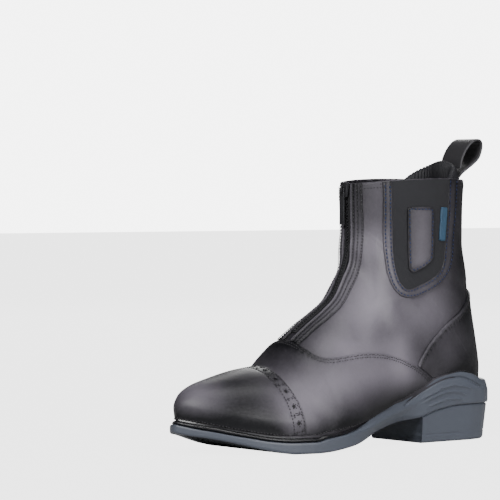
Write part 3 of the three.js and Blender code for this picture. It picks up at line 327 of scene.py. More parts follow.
@dataclass
class UpperForm:
    """The last's form of the upper, as sections from the toe to the collar."""

    sole: SoleForm
    instep_height: float = 148.5
    boot_height: float = 197.0
    collar_width: float = 69.4
    wall: float = 2.0
    feather_inset: float = 4.7
    swell: float = 1.02

    FOOT_COLUMNS = ("seat", "top", "rise", "outer", "inner", "wide", "low", "crown", "lean", "bow")
    FOOT_ROWS = (
        (1.000, 0.983, 0.172, 0, 0, 0.10, 2.0, 2.0, -0.054, 0),
        (0.997, 0.981, 0.213, 0, 0, 0.10, 2.0, 2.1, -0.060, 0),
        (0.988, 0.975, 0.250, 0, 0, 0.11, 2.0, 2.2, -0.062, 0),
        (0.966, 0.958, 0.290, 0, 0, 0.12, 2.0, 2.2, -0.060, 0),
        (0.930, 0.924, 0.322, 0, 0, 0.13, 2.0, 2.2, -0.055, 0),
        (0.877, 0.862, 0.354, 0, 0, 0.14, 2.0, 2.2, -0.048, 0),
        (0.813, 0.790, 0.385, 0, 0, 0.15, 2.0, 2.1, -0.040, 0),
        (0.752, 0.729, 0.400, 0, 0, 0.16, 2.0, 2.0, -0.032, 0),
        (0.715, 0.700, 0.436, 0, 0, 0.16, 2.0, 1.95, -0.027, 0),
        (0.680, 0.668, 0.512, 0, 0, 0.16, 2.0, 1.85, -0.022, 0),
        (0.620, 0.602, 0.610, 0.50, 0.50, 0.17, 2.0, 1.8, -0.016, 0),
        (0.545, 0.544, 0.686, 0.53, 0.53, 0.20, 2.0, 1.75, -0.010, 0),
        (0.462, 0.505, 0.751, 0.52, 0.50, 0.26, 2.0, 1.75, -0.004, 0),
        (0.372, 0.479, 0.838, 0.485, 0.485, 0.33, 2.1, 1.75, 0, 0),
        (0.274, 0.459, 0.929, 0.460, 0.460, 0.40, 2.2, 1.8, 0, 0),
        (0.185, 0.451, 1.000, 0.452, 0.452, 0.45, 2.2, 1.85, 0, 0),
        (0.103, 0.449, 1.175, 0.452, 0.452, 0.49, 2.1, 1.9, 0, 0),
        (0.048, 0.449, 1.310, 0.455, 0.455, 0.51, 2.1, 1.95, 0, 0),
        (0.014, 0.449, 1.400, 0.460, 0.460, 0.52, 2.1, 2.0, 0, 0),
        (0, 0.450, 1.475, 0.465, 0.465, 0.52, 2.1, 2.0, 0, 0),
    )
    SHAFT_COLUMNS = ("back", "back_rise", "top", "rise", "outer", "inner", "wide", "low", "crown", "bow")
    SHAFT_ROWS = (
        (0.021, 0.337, 0.450, 1.545, 0.470, 0.470, 0.51, 2.1, 2.0, 0),
        (0.034, 0.471, 0.450, 1.630, 0.476, 0.476, 0.50, 2.1, 2.0, 0),
        (0.052, 0.640, 0.450, 1.710, 0.482, 0.482, 0.50, 2.1, 2.0, 0),
        (0.066, 0.821, 0.450, 1.805, 0.489, 0.489, 0.50, 2.1, 2.0, 0.002),
        (0.080, 1.030, 0.450, 1.875, 0.496, 0.496, 0.50, 2.0, 2.0, 0.005),
        (0.079, 1.546, 0.450, 1.940, 0.500, 0.500, 0.50, 2.0, 2.0, 0.009),
        (0.0730, 2.041, 0.450, 2.000, 0.500, 0.500, 0.50, 2.0, 2.0, 0.0127),
    )

    def __post_init__(self) -> None:
        """Turns the tables into curves over the row number."""
        self.last_foot = len(self.FOOT_ROWS) - 1
        self.top_row = self.last_foot + len(self.SHAFT_ROWS)
        numbers = list(range(self.top_row + 1))
        self.c: dict[str, Curve] = {}
        for name in ("top", "outer", "inner", "wide", "low", "crown", "lean", "bow"):
            foot = [row[self.FOOT_COLUMNS.index(name)] for row in self.FOOT_ROWS]
            known = name in self.SHAFT_COLUMNS
            shaft = [row[self.SHAFT_COLUMNS.index(name)] if known else 0 for row in self.SHAFT_ROWS]
            self.c[name] = Curve(numbers, foot + shaft)
        tops = [self.rise(row[2]) for row in self.FOOT_ROWS] + [self.rise(row[3]) for row in self.SHAFT_ROWS]
        self.c["top_height"] = Curve(numbers, tops)
        self.c["seat_turn"] = Curve(numbers[: self.last_foot + 1],
                                    [float(to_turn(row[0])) for row in self.FOOT_ROWS])
        late = numbers[self.last_foot :]
        self.c["back"] = Curve(late,
                               [self.feather_inset / self.sole.length] + [row[0] for row in self.SHAFT_ROWS])
        first = float(self.sole.seat_top(0)) + CLEARANCE
        self.c["back_height"] = Curve(late, [first] + [self.rise(row[1]) for row in self.SHAFT_ROWS])

    def rise(self, share: float) -> float:
        """Height of a rise share: up to 1 of the instep height, above 1 on up the shaft."""
        low = share * self.instep_height
        return low if share <= 1 else mix(self.instep_height, self.boot_height, share - 1)

    def foot(self, row: Array, side: Array) -> tuple[Array, Array, Array]:
        """The foot of a section on one side, as sideways place, length and height.

        Args:
            row: Row numbers.
            side: 1 on the outer side, -1 on the inner.

        Returns:
            Sideways place, length and height.
        """
        turn = self.c["seat_turn"](row)
        x, u = self.sole.outline(turn, side, self.feather_inset)
        z = self.sole.seat_top(to_along(turn)) + CLEARANCE
        late = row >= self.last_foot
        back_u = self.c["back"](row) * self.sole.length
        return np.where(late, 0, x), np.where(late, back_u, u), np.where(late, self.c["back_height"](row), z)

    def form(self, row: Array, across: Array) -> Array:
        """Points of the outer form.

        Args:
            row: Row numbers, fractions allowed.
            across: 0 at the outer foot, 0.5 on the front line, 1 at the inner foot.

        Returns:
            An array of sideways place, length and height.
        """
        row, across = np.broadcast_arrays(np.asarray(row, float), np.asarray(across, float))
        side = np.where(across <= 0.5, 1.0, -1.0)
        climb = np.where(side > 0, across * 2, (1 - across) * 2)
        fx, fu, fz = self.foot(row, side)
        other, _, _ = self.foot(row, -side)
        centre = (fx + other) / 2
        foot_width = np.abs(fx - centre)
        body = self.collar_width * np.where(side > 0, self.c["outer"](row), self.c["inner"](row))
        a, b = foot_width * self.swell, body
        widest = np.maximum((a + b + np.hypot(a - b, 0.1 * (a + b))) / 2, 1e-6)
        wide = self.c["wide"](row)
        turn_at = 0.14 + 0.56 * wide
        low, crown = self.c["low"](row), self.c["crown"](row)
        opening = np.arccos(np.clip((foot_width / widest) ** (low / 2), 0, 0.995))
        angle = (1 - np.minimum(climb / turn_at, 1)) * opening
        h1 = wide * (1 - (np.sin(angle) / np.sin(opening)) ** (2 / low))
        w1 = widest * np.cos(angle) ** (2 / low)
        angle = np.clip((climb - turn_at) / (1 - turn_at), 0, 1) * math.pi / 2
        h2 = wide + (1 - wide) * np.sin(angle) ** (2 / crown)
        w2 = widest * np.maximum(np.cos(angle), 0) ** (2 / crown)
        lower = climb < turn_at
        height, width = np.where(lower, h1, h2), np.where(lower, w1, w2)
        ends = (row >= self.last_foot) & ((across <= 0) | (across >= 1))
        width = np.where(ends | (across == 0.5), 0, width)
        top_u, top_z = self.c["top"](row) * self.sole.length, self.c["top_height"](row)
        lean = mix(centre, self.c["lean"](row) * self.sole.ball_width, height)
        bow = self.c["bow"](row) * self.boot_height * 4 * height * (1 - height)
        return np.stack([lean + side * width, mix(fu, top_u, height), mix(fz, top_z, height) + bow], -1)

    def normal(self, row: Array, across: Array) -> Array:
        """Unit normals of the form, outwards.

        Args:
            row: Row numbers.
            across: Across numbers.

        Returns:
            One unit vector for each point.
        """
        step = 1e-3
        r = np.clip(row, 0.04, self.top_row - 0.01)
        c = np.clip(across, step, 1 - step)
        along_row = self.form(r, c + step) - self.form(r, c - step)
        along_foot = self.form(r + step, c) - self.form(r - step, c)
        n = np.cross(along_row, along_foot)
        n[:, 0] = np.where(across == 0.5, 0, n[:, 0])
        ends = (across <= 0) | (across >= 1)
        n[:, 0] = np.where((row >= self.last_foot) & ends, 0, n[:, 0])
        n[:, 2] = np.where((row <= self.last_foot) & ends, 0, n[:, 2])
        return n / np.maximum(np.linalg.norm(n, axis=1), 1e-9)[:, None]

    def surface(self, row: Array, across: Array, out: Array | float) -> Array:
        """Points moved out along the normal, with the tip of the toe shared by both sides.

        Args:
            row: Row numbers.
            across: Across numbers.
            out: Distance outwards.

        Returns:
            The points.
        """
        p = self.form(row, across) + self.normal(row, across) * np.reshape(out, (-1, 1))
        tip = row <= 0
        if tip.any():
            q = self.form(row[tip], 1 - across[tip]) + self.normal(row[tip], 1 - across[tip]) * np.reshape(
                np.broadcast_to(out, row.shape)[tip], (-1, 1))
            p[tip] = (p[tip] + q) / 2
        return p


# Sheets on the form, cut and stepped along lines


class Sheet:
    """A sheet of triangles on the upper's form, held as row and across numbers."""

    def __init__(self, form: UpperForm, rows: Array, columns: Array) -> None:
        """Fills a grid.

        Args:
            form: The upper's form.
            rows: Row numbers of the grid.
            columns: Across numbers of the grid.
        """
        self.form = form
        grid = np.stack(np.meshgrid(rows, columns, indexing="ij"), -1)
        self.params = grid.reshape(-1, 2)
        n, m = len(rows), len(columns)
        k = np.arange(n * m).reshape(n, m)
        a, b, c, d = k[:-1, :-1].ravel(), k[:-1, 1:].ravel(), k[1:, 1:].ravel(), k[1:, :-1].ravel()
        self.tris = np.vstack([np.stack([a, b, c], -1), np.stack([a, c, d], -1)])

    def base(self) -> Array:
        """Points on the plain form."""
        return self.form.surface(self.params[:, 0], self.params[:, 1], 0.0)

    def split(self, values: Array, level: float, tie: float = 0.04) -> Array:
        """Cuts the triangles along a level of some values.

        Args:
            values: One value for each point.
            level: The value to cut at.
            tie: Values this near to the level count as on it.

        Returns:
            The values of all points after the cut.
        """
        s = values - level
        s = np.where(np.abs(s) < tie, 0, s)
        sign = np.sign(s)[self.tris]
        crossed = (sign.max(1) > 0) & (sign.min(1) < 0)
        kept = [self.tris[~crossed]]
        points, extra, new = list(), list(), {}

        def cut(i: int, j: int) -> int:
            """Number of the new point on an edge.

            Args:
                i: One end of the edge.
                j: The other end.

            Returns:
                The number of the point.
            """
            key = (min(i, j), max(i, j))
            if key not in new:
                t = s[i] / (s[i] - s[j])
                new[key] = len(self.params) + len(points)
                points.append(mix(self.params[i], self.params[j], t))
                extra.append(level)
            return new[key]

        made = []
        for tri in self.tris[crossed]:
            ids = [int(v) for v in tri]
            signs = [np.sign(s[v]) for v in ids]
            if 0 in signs:
                k = signs.index(0)
                a, b, c = ids[k], ids[(k + 1) % 3], ids[(k + 2) % 3]
                m = cut(b, c)
                made += [(a, b, m), (a, m, c)]
            else:
                k = next(i for i in range(3) if signs[i] == -sum(signs))
                a, b, c = ids[k], ids[(k + 1) % 3], ids[(k + 2) % 3]
                m, n = cut(a, b), cut(c, a)
                made += [(a, m, n), (m, b, c), (m, c, n)]
        if points:
            self.params = np.vstack([self.params, np.array(points)])
            kept.append(np.array(made))
        self.tris = np.vstack(kept)
        return np.concatenate([np.where(np.abs(values - level) < tie, level, values), extra])

    def keep(self, values: Array, level: float = 0.0) -> Array:
        """Drops the triangles below a level. Returns the values of the points left."""
        inside_all = values[self.tris].mean(1) > level
        tris = self.tris[inside_all]
        used, back = np.unique(tris, return_inverse=True)
        self.params, self.tris = self.params[used], back.reshape(tris.shape)
        return values[used]

    def level_lines(self, values: Array, level: float) -> list[Array]:
        """Lines of points on the form where the values pass a level, in row and across numbers.

        Args:
            values: One value for each point.
            level: The value that the lines follow.

        Returns:
            The row and across numbers of each line.
        """
        s = values - level
        s = np.where(s == 0, 1e-9, s)
        links: dict[tuple[int, int], list[tuple[int, int]]] = {}
        place: dict[tuple[int, int], Array] = {}
        for tri in self.tris[(s[self.tris].max(1) > 0) & (s[self.tris].min(1) < 0)]:
            ends = []
            for i, j in ((0, 1), (1, 2), (2, 0)):
                a, b = int(tri[i]), int(tri[j])
                if s[a] * s[b] < 0:
                    key = (min(a, b), max(a, b))
                    place[key] = mix(self.params[a], self.params[b], s[a] / (s[a] - s[b]))
                    ends.append(key)
            if len(ends) == 2:
                links.setdefault(ends[0], []).append(ends[1])
                links.setdefault(ends[1], []).append(ends[0])
        lines, seen = [], set()
        starts = [k for k, v in links.items() if len(v) == 1] + list(links)
        for start in starts:
            if start in seen:
                continue
            chain, at = [start], start
            seen.add(start)
            while True:
                step = [k for k in links[at] if k not in seen]
                if not step:
                    break
                at = step[0]
                seen.add(at)
                chain.append(at)
            if len(chain) > 3:
                if start in links[at] and len(chain) > 8:
                    chain.append(start)
                lines.append(np.array([place[k] for k in chain]))
        return lines


# Making pieces


class Smooth(Enum):
    """How sharply a piece keeps its edges when shaded."""

    SOFT = 60
    CRISP = 35


def weld_and_face(mesh: bpy.types.Mesh) -> None:
    """Merges doubled points and turns all faces outwards.

    Args:
        mesh: The mesh.
    """
    bm = bmesh.new()
    bm.from_mesh(mesh)
    bmesh.ops.remove_doubles(bm, verts=bm.verts, dist=4e-6)
    bmesh.ops.dissolve_degenerate(bm, edges=bm.edges, dist=1e-7)
    bmesh.ops.recalc_face_normals(bm, faces=bm.faces)
    bm.to_mesh(mesh)
    bm.free()


def make_piece(
    name: str,
    points: Array,
    faces: Sequence[Sequence[int]],
    finish: "Finish",
    nodes: Sequence[str] = (),
    body: str = "boot",
    smooth: Smooth = Smooth.SOFT,
    tone: Array | None = None,
    weld: bool = True,
) -> bpy.types.Object:
    """Makes a mesh piece that rides on a body.

    Args:
        name: Name of the piece.
        points: Points in metres.
        faces: Faces as rows of point numbers.
        finish: The finish it gets.
        nodes: CAD nodes that it stands for.
        body: Body it rides on.
        smooth: Edge angle kept sharp.
        tone: A shade for each point, 0 dark and 1 light.
        weld: Whether doubled points are merged.

    Returns:
        The new object.
    """
    mesh = bpy.data.meshes.new(name)
    mesh.from_pydata(np.asarray(points).tolist(), [], [[int(v) for v in f] for f in faces])
    layer = mesh.attributes.new("tone", "FLOAT", "POINT")
    layer.data.foreach_set("value", np.full(len(points), 0.5) if tone is None else np.asarray(tone, float))
    if weld:
        weld_and_face(mesh)
    mesh.polygons.foreach_set("use_smooth", [True] * len(mesh.polygons))
    mesh.set_sharp_from_angle(angle=math.radians(smooth.value))
    mesh.update()
    piece = bpy.data.objects.new(name, mesh)
    bpy.context.scene.collection.objects.link(piece)
    return dress(piece, finish, nodes, body)


def dress(piece: bpy.types.Object, finish: "Finish", nodes: Sequence[str],
          body: str) -> bpy.types.Object:
    """Gives a piece its finish and its body, and hides the CAD nodes that it stands for.

    Args:
        piece: The piece.
        finish: Its finish.
        nodes: CAD nodes that it stands for.
        body: Body it rides on.

    Returns:
        The same piece.
    """
    piece.data.materials.clear()
    piece.data.materials.append(finish.material())
    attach(piece, body)
    if nodes:
        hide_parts(*nodes)
    log.info("%s: %d faces", piece.name, len(piece.data.polygons))
    return piece


def grid_faces(rows: int, columns: int, start: int = 0) -> Array:
    """Four-sided faces of a grid of points."""
    k = np.arange(rows * columns).reshape(rows, columns) + start
    return np.stack([k[:-1, :-1], k[:-1, 1:], k[1:, 1:], k[1:, :-1]], -1).reshape(-1, 4)


def tube_faces(rings: int, size: int) -> list[list[int]]:
    """Faces of a tube of point rings, closed at both ends.

    Args:
        rings: Number of rings.
        size: Number of points in a ring.

    Returns:
        The faces.
    """
    faces = []
    for k in range(rings - 1):
        for j in range(size):
            a, b = k * size + j, k * size + (j + 1) % size
            faces.append([a, b, b + size, a + size])
    return faces + [list(range(size)), [(rings - 1) * size + j for j in range(size - 1, -1, -1)]]


# Finishes


class Nodes:
    """A short way to place and link shader nodes."""

    def __init__(self, tree: bpy.types.NodeTree) -> None:
        """Takes the tree that it fills."""
        self.tree = tree

    def add(self, kind: str, settings: dict | None = None, **sockets: object) -> bpy.types.Node:
        """Adds a node.

        Args:
            kind: Blender's name of the node.
            settings: Attributes of the node.
            sockets: Values or outputs for its inputs, with _ for a space.

        Returns:
            The node.
        """
        node = self.tree.nodes.new(kind)
        for key, value in (settings or {}).items():
            setattr(node, key, value)
        for key, value in sockets.items():
            name = key.replace("_", " ")
            socket = node.inputs[int(key[1:])] if key[0] == "i" and key[1:].isdigit() else node.inputs[name]
            if isinstance(value, bpy.types.NodeSocket):
                self.tree.links.new(value, socket)
            else:
                socket.default_value = value
        return node

    def math(self, operation: str, a: object, b: object = 0.0) -> bpy.types.NodeSocket:
        """Result of a sum on two values."""
        return self.add("ShaderNodeMath", {"operation": operation}, i0=a, i1=b).outputs[0]

    def blend(self, share: object, a: object, b: object) -> bpy.types.NodeSocket:
        """Blend of two colours.

        Args:
            share: Share of the second colour.
            a: First colour.
            b: Second colour.

        Returns:
            The blended colour.
        """
        node = self.add("ShaderNodeMix", {"data_type": "RGBA"})
        for key, value in ((0, share), (6, a), (7, b)):
            if isinstance(value, bpy.types.NodeSocket):
                self.tree.links.new(value, node.inputs[key])
            else:
                node.inputs[key].default_value = value
        return node.outputs[2]

    def noise(self, vector: object, scale: float, detail: float = 3.0,
              rough: float = 0.5) -> bpy.types.NodeSocket:
        """Soft noise between 0 and 1."""
        return self.add("ShaderNodeTexNoise", None, Vector=vector, Scale=scale, Detail=detail,
                        Roughness=rough).outputs["Fac"]

    def span(self, value: object, low: float, high: float, to_low: float = 0.0,
             to_high: float = 1.0) -> bpy.types.NodeSocket:
        """A value stretched from one range to another, held inside it."""
        return self.add("ShaderNodeMapRange", None, Value=value, From_Min=low, From_Max=high, To_Min=to_low,
                        To_Max=to_high).outputs[0]


def group_shell(name: str, inputs: dict[str, object], outputs: dict[str, str]) -> tuple[
        bpy.types.NodeTree, Nodes, dict[str, bpy.types.NodeSocket], bpy.types.Node]:
    """Starts a shared node group.

    Args:
        name: Name of the group.
        inputs: Default value of each input: a number, a colour or None for a vector.
        outputs: Socket kind of each output.

    Returns:
        The tree, its helper, the input sockets and the output node.
    """
    tree = bpy.data.node_groups.new(name, "ShaderNodeTree")
    for key, value in inputs.items():
        kind = "NodeSocketColor" if isinstance(value, tuple) else "NodeSocketFloat"
        kind = "NodeSocketVector" if value is None else kind
        socket = tree.interface.new_socket(key, in_out="INPUT", socket_type=kind)
        if value is not None:
            socket.default_value = value
    for key, kind in outputs.items():
        tree.interface.new_socket(key, in_out="OUTPUT", socket_type=kind)
    nodes = Nodes(tree)
    source = nodes.add("NodeGroupInput")
    return tree, nodes, {k: source.outputs[k] for k in inputs}, nodes.add("NodeGroupOutput")


def close_group(tree: bpy.types.NodeTree, out: bpy.types.Node,
                **results: bpy.types.NodeSocket) -> bpy.types.NodeTree:
    """Links the results of a shared node group.

    Args:
        tree: The group.
        out: Its output node.
        results: What goes to each output.

    Returns:
        The group.
    """
    for key, value in results.items():
        tree.links.new(value, out.inputs[key])
    return tree


FULL = {"Color": "NodeSocketColor", "Roughness": "NodeSocketFloat", "Height": "NodeSocketFloat"}


class Effects:
    """Node groups shared by the finishes, each built once."""

    @staticmethod
    @lru_cache(maxsize=None)
    def hide() -> bpy.types.NodeTree:
        """Smooth burnished leather: cloudy colour, pores, fine scratches.

        Returns:
            The node group.
        """
        tree, n, i, out = group_shell("burnished_hide", {
            "Vector": None, "Tone": 0.5, "Dark": (0.01, 0.01, 0.012, 1), "Light": (0.1, 0.095, 0.11, 1),
            "Gloss": 0.38}, FULL)
        cloud = n.noise(i["Vector"], 34.0, 4.0, 0.55)
        fleck = n.noise(i["Vector"], 420.0, 3.0, 0.6)
        grain = n.noise(i["Vector"], 1500.0, 2.0, 0.6)
        cells = n.add("ShaderNodeTexVoronoi", {"feature": "DISTANCE_TO_EDGE"}, Vector=i["Vector"],
                      Scale=950.0).outputs["Distance"]
        pore = n.span(cells, 0.0, 0.12)
        turned = n.add("ShaderNodeMapping", None, Vector=i["Vector"], Rotation=(0.5, 0.2, 0.4),
                       Scale=(90.0, 900.0, 260.0)).outputs[0]
        scratch = n.span(n.noise(turned, 1.0, 2.0, 0.5), 0.66, 0.74)
        share = n.math("ADD", i["Tone"], n.span(cloud, 0.3, 0.7, -0.035, 0.035))
        share = n.math("ADD", share, n.span(fleck, 0.3, 0.7, -0.02, 0.02))
        share = n.math("ADD", share, n.math("MULTIPLY", scratch, 0.03))
        color = n.blend(n.span(share, 0.0, 1.0), i["Dark"], i["Light"])
        rough = n.math("ADD", i["Gloss"], n.span(cloud, 0.3, 0.7, -0.05, 0.07))
        rough = n.math("ADD", rough, n.span(fleck, 0.3, 0.7, -0.04, 0.05))
        height = n.math("ADD", n.math("MULTIPLY", pore, 0.35), n.math("MULTIPLY", grain, 0.4))
        height = n.math("SUBTRACT", height, n.math("MULTIPLY", scratch, 0.25))
        return close_group(tree, out, Color=color, Roughness=rough, Height=height)

    @staticmethod
    @lru_cache(maxsize=None)
    def rubber() -> bpy.types.NodeTree:
        """Moulded rubber: faint cloud, dust and a fine matt skin.

        Returns:
            The node group.
        """
        tree, n, i, out = group_shell("moulded_rubber", {
            "Vector": None, "Tone": 0.5, "Dark": (0.03, 0.03, 0.035, 1), "Light": (0.12, 0.13, 0.15, 1),
            "Gloss": 0.5}, FULL)
        cloud = n.noise(i["Vector"], 60.0, 4.0, 0.6)
        skin = n.noise(i["Vector"], 2200.0, 2.0, 0.6)
        dust = n.span(n.noise(i["Vector"], 500.0, 3.0, 0.7), 0.55, 0.75)
        share = n.math("ADD", i["Tone"], n.span(cloud, 0.3, 0.7, -0.08, 0.08))
        share = n.math("ADD", share, n.math("MULTIPLY", dust, 0.06))
        color = n.blend(n.span(share, 0.0, 1.0), i["Dark"], i["Light"])
        rough = n.math("ADD", i["Gloss"], n.span(cloud, 0.3, 0.7, -0.05, 0.08))
        return close_group(tree, out, Color=color, Roughness=rough, Height=skin)

    @staticmethod
    @lru_cache(maxsize=None)
    def weave() -> bpy.types.NodeTree:
        """Ribbed elastic or tape: upright ribs crossed by a finer weft.

        Returns:
            The node group.
        """
        tree, n, i, out = group_shell("ribbed_weave", {
            "Vector": None, "Tone": 0.5, "Dark": (0.01, 0.01, 0.01, 1), "Light": (0.06, 0.06, 0.065, 1),
            "Gloss": 0.75, "Ribs": 300.0}, FULL)
        parts = n.add("ShaderNodeSeparateXYZ", None, Vector=i["Vector"])
        wobble = n.span(n.noise(i["Vector"], 120.0, 2.0), 0.0, 1.0, -0.8, 0.8)
        rib = n.math("SINE", n.math("ADD", n.math("MULTIPLY", parts.outputs[1], n.math(
            "MULTIPLY", i["Ribs"], 6.283)), wobble))
        weft = n.math("SINE", n.math("ADD", n.math("MULTIPLY", parts.outputs[2], n.math(
            "MULTIPLY", i["Ribs"], 10.5)), wobble))
        height = n.math("ADD", n.math("MULTIPLY", rib, 0.5), n.math("MULTIPLY", weft, 0.4))
        fuzz = n.noise(i["Vector"], 900.0, 3.0, 0.7)
        # The rib and weft height is painted into the colour: painted highlights on the crests and painted shade in
        # the grooves.
        share = n.math("ADD", n.math("MULTIPLY", height, 0.34), n.math("MULTIPLY", fuzz, 0.5))
        color = n.blend(n.span(n.math("ADD", share, n.math("MULTIPLY", i["Tone"], 0.7)), 0.0, 1.0),
                        i["Dark"], i["Light"])
        rough = n.math("ADD", i["Gloss"], n.span(fuzz, 0.3, 0.7, -0.08, 0.08))
        return close_group(tree, out, Color=color, Roughness=rough, Height=height)

    @staticmethod
    @lru_cache(maxsize=None)
    def worn_metal() -> bpy.types.NodeTree:
        """Dark plated metal with rubbed patches.

        Returns:
            The node group.
        """
        tree, n, i, out = group_shell("rubbed_metal", {
            "Vector": None, "Tone": 0.5, "Dark": (0.02, 0.02, 0.022, 1), "Light": (0.3, 0.3, 0.32, 1),
            "Gloss": 0.3}, FULL)
        cloud = n.noise(i["Vector"], 500.0, 4.0, 0.65)
        fine = n.noise(i["Vector"], 3000.0, 2.0, 0.6)
        share = n.math("ADD", i["Tone"], n.span(cloud, 0.35, 0.7, -0.3, 0.3))
        color = n.blend(n.span(share, 0.0, 1.0), i["Dark"], i["Light"])
        rough = n.math("ADD", i["Gloss"], n.span(cloud, 0.3, 0.7, -0.06, 0.1))
        return close_group(tree, out, Color=color, Roughness=rough, Height=fine)


@dataclass(frozen=True)
class Finish:
    """One finish: an effect with its own values, and the shader's own numbers."""

    name: str
    effect: Callable[[], bpy.types.NodeTree]
    dark: tuple[float, float, float, float]
    light: tuple[float, float, float, float]
    gloss: float
    bump: float
    depth: float = 0.0002
    coat: float = 0.0
    coat_roughness: float = 0.3
    sheen: float = 0.0
    metallic: float = 0.0
    specular: float = 0.5
    ribs: float = 0.0

    def material(self) -> bpy.types.Material:
        """The Blender material of the finish, made at first use.

        Returns:
            The material.
        """
        if self.name in bpy.data.materials:
            return bpy.data.materials[self.name]
        made = bpy.data.materials.new(self.name)
        made.use_nodes = True
        n = Nodes(made.node_tree)
        shader = made.node_tree.nodes["Principled BSDF"]
        place = n.add("ShaderNodeTexCoord").outputs["Object"]
        tone = n.add("ShaderNodeAttribute", {"attribute_name": "tone"}).outputs["Fac"]
        group = n.add("ShaderNodeGroup", {"node_tree": self.effect()}, Vector=place, Tone=tone,
                      Dark=self.dark,
                      Light=self.light, Gloss=self.gloss)
        if self.ribs:
            group.inputs["Ribs"].default_value = self.ribs
        bump = n.add("ShaderNodeBump", None, Strength=self.bump, Distance=self.depth,
                     Height=group.outputs["Height"])
        made.node_tree.links.new(group.outputs["Color"], shader.inputs["Base Color"])
        made.node_tree.links.new(group.outputs["Roughness"], shader.inputs["Roughness"])
        made.node_tree.links.new(bump.outputs[0], shader.inputs["Normal"])
        shader.inputs["Coat Weight"].default_value = self.coat
        shader.inputs["Coat Roughness"].default_value = self.coat_roughness
        shader.inputs["Sheen Weight"].default_value = self.sheen
        shader.inputs["Metallic"].default_value = self.metallic
        shader.inputs["Specular IOR Level"].default_value = self.specular
        return made


# The light colour of boot_leather is reached where the tone carries painted highlights; the bare tone stays near its
# dark colour.
LEATHER = Finish("boot_leather", Effects.hide, (0.003, 0.003, 0.005, 1), (0.30, 0.275, 0.325, 1), 0.46, 0.25,
                 coat=0.08, coat_roughness=0.3, specular=0.35)
LINING = Finish("lining", Effects.hide, (0.006, 0.006, 0.007, 1), (0.03, 0.028, 0.03, 1), 0.75, 0.3,
                specular=0.3)
PAD_LEATHER = Finish("pad_leather", Effects.hide, (0.006, 0.006, 0.007, 1), (0.22, 0.21, 0.235, 1), 0.38, 0.2,
                     coat=0.15)
STRAP = Finish("strap_leather", Effects.hide, (0.006, 0.006, 0.007, 1), (0.075, 0.073, 0.08, 1), 0.5, 0.3,
               specular=0.35)
ELASTIC = Finish("elastic", Effects.weave, (0.004, 0.004, 0.004, 1), (0.15, 0.153, 0.16, 1), 0.85, 0.8,
                 0.0004,
                 specular=0.25, ribs=420.0)
TAPE = Finish("zip_tape", Effects.weave, (0.004, 0.004, 0.005, 1), (0.03, 0.03, 0.033, 1), 0.85, 0.5, 0.0002,
              ribs=900.0)
TAB_CLOTH = Finish("tab_cloth", Effects.weave, (0.012, 0.04, 0.08, 1), (0.08, 0.18, 0.29, 1), 0.6, 0.4,
                   0.0002, ribs=1100.0)
SOLE = Finish("sole_rubber", Effects.rubber, (0.006, 0.006, 0.010, 1), (0.095, 0.098, 0.134, 1), 0.48, 0.15,
              specular=0.4)
TREAD = Finish("tread_rubber", Effects.rubber, (0.012, 0.013, 0.014, 1), (0.06, 0.062, 0.068, 1), 0.6, 0.25)
BLUE = Finish("blue_rubber", Effects.rubber, (0.01, 0.03, 0.075, 1), (0.03, 0.085, 0.19, 1), 0.45, 0.2)
WELT_SKIN = Finish("welt_skin", Effects.rubber, (0.002, 0.002, 0.003, 1), (0.012, 0.012, 0.016, 1), 0.28, 0.2,
                   coat=0.3)
METAL = Finish("zip_metal", Effects.worn_metal, (0.012, 0.012, 0.014, 1), (0.22, 0.22, 0.24, 1), 0.32, 0.15,
               0.00005,
               metallic=0.85)
NAVY_THREAD = Finish("navy_thread", Effects.weave, (0.004, 0.009, 0.032, 1), (0.02, 0.036, 0.12, 1), 0.6, 0.3,
                     ribs=1500.0)
BLACK_THREAD = Finish("black_thread", Effects.weave, (0.003, 0.003, 0.004, 1), (0.05, 0.048, 0.055, 1), 0.5,
                      0.3,
                      ribs=1500.0)


# The sole unit


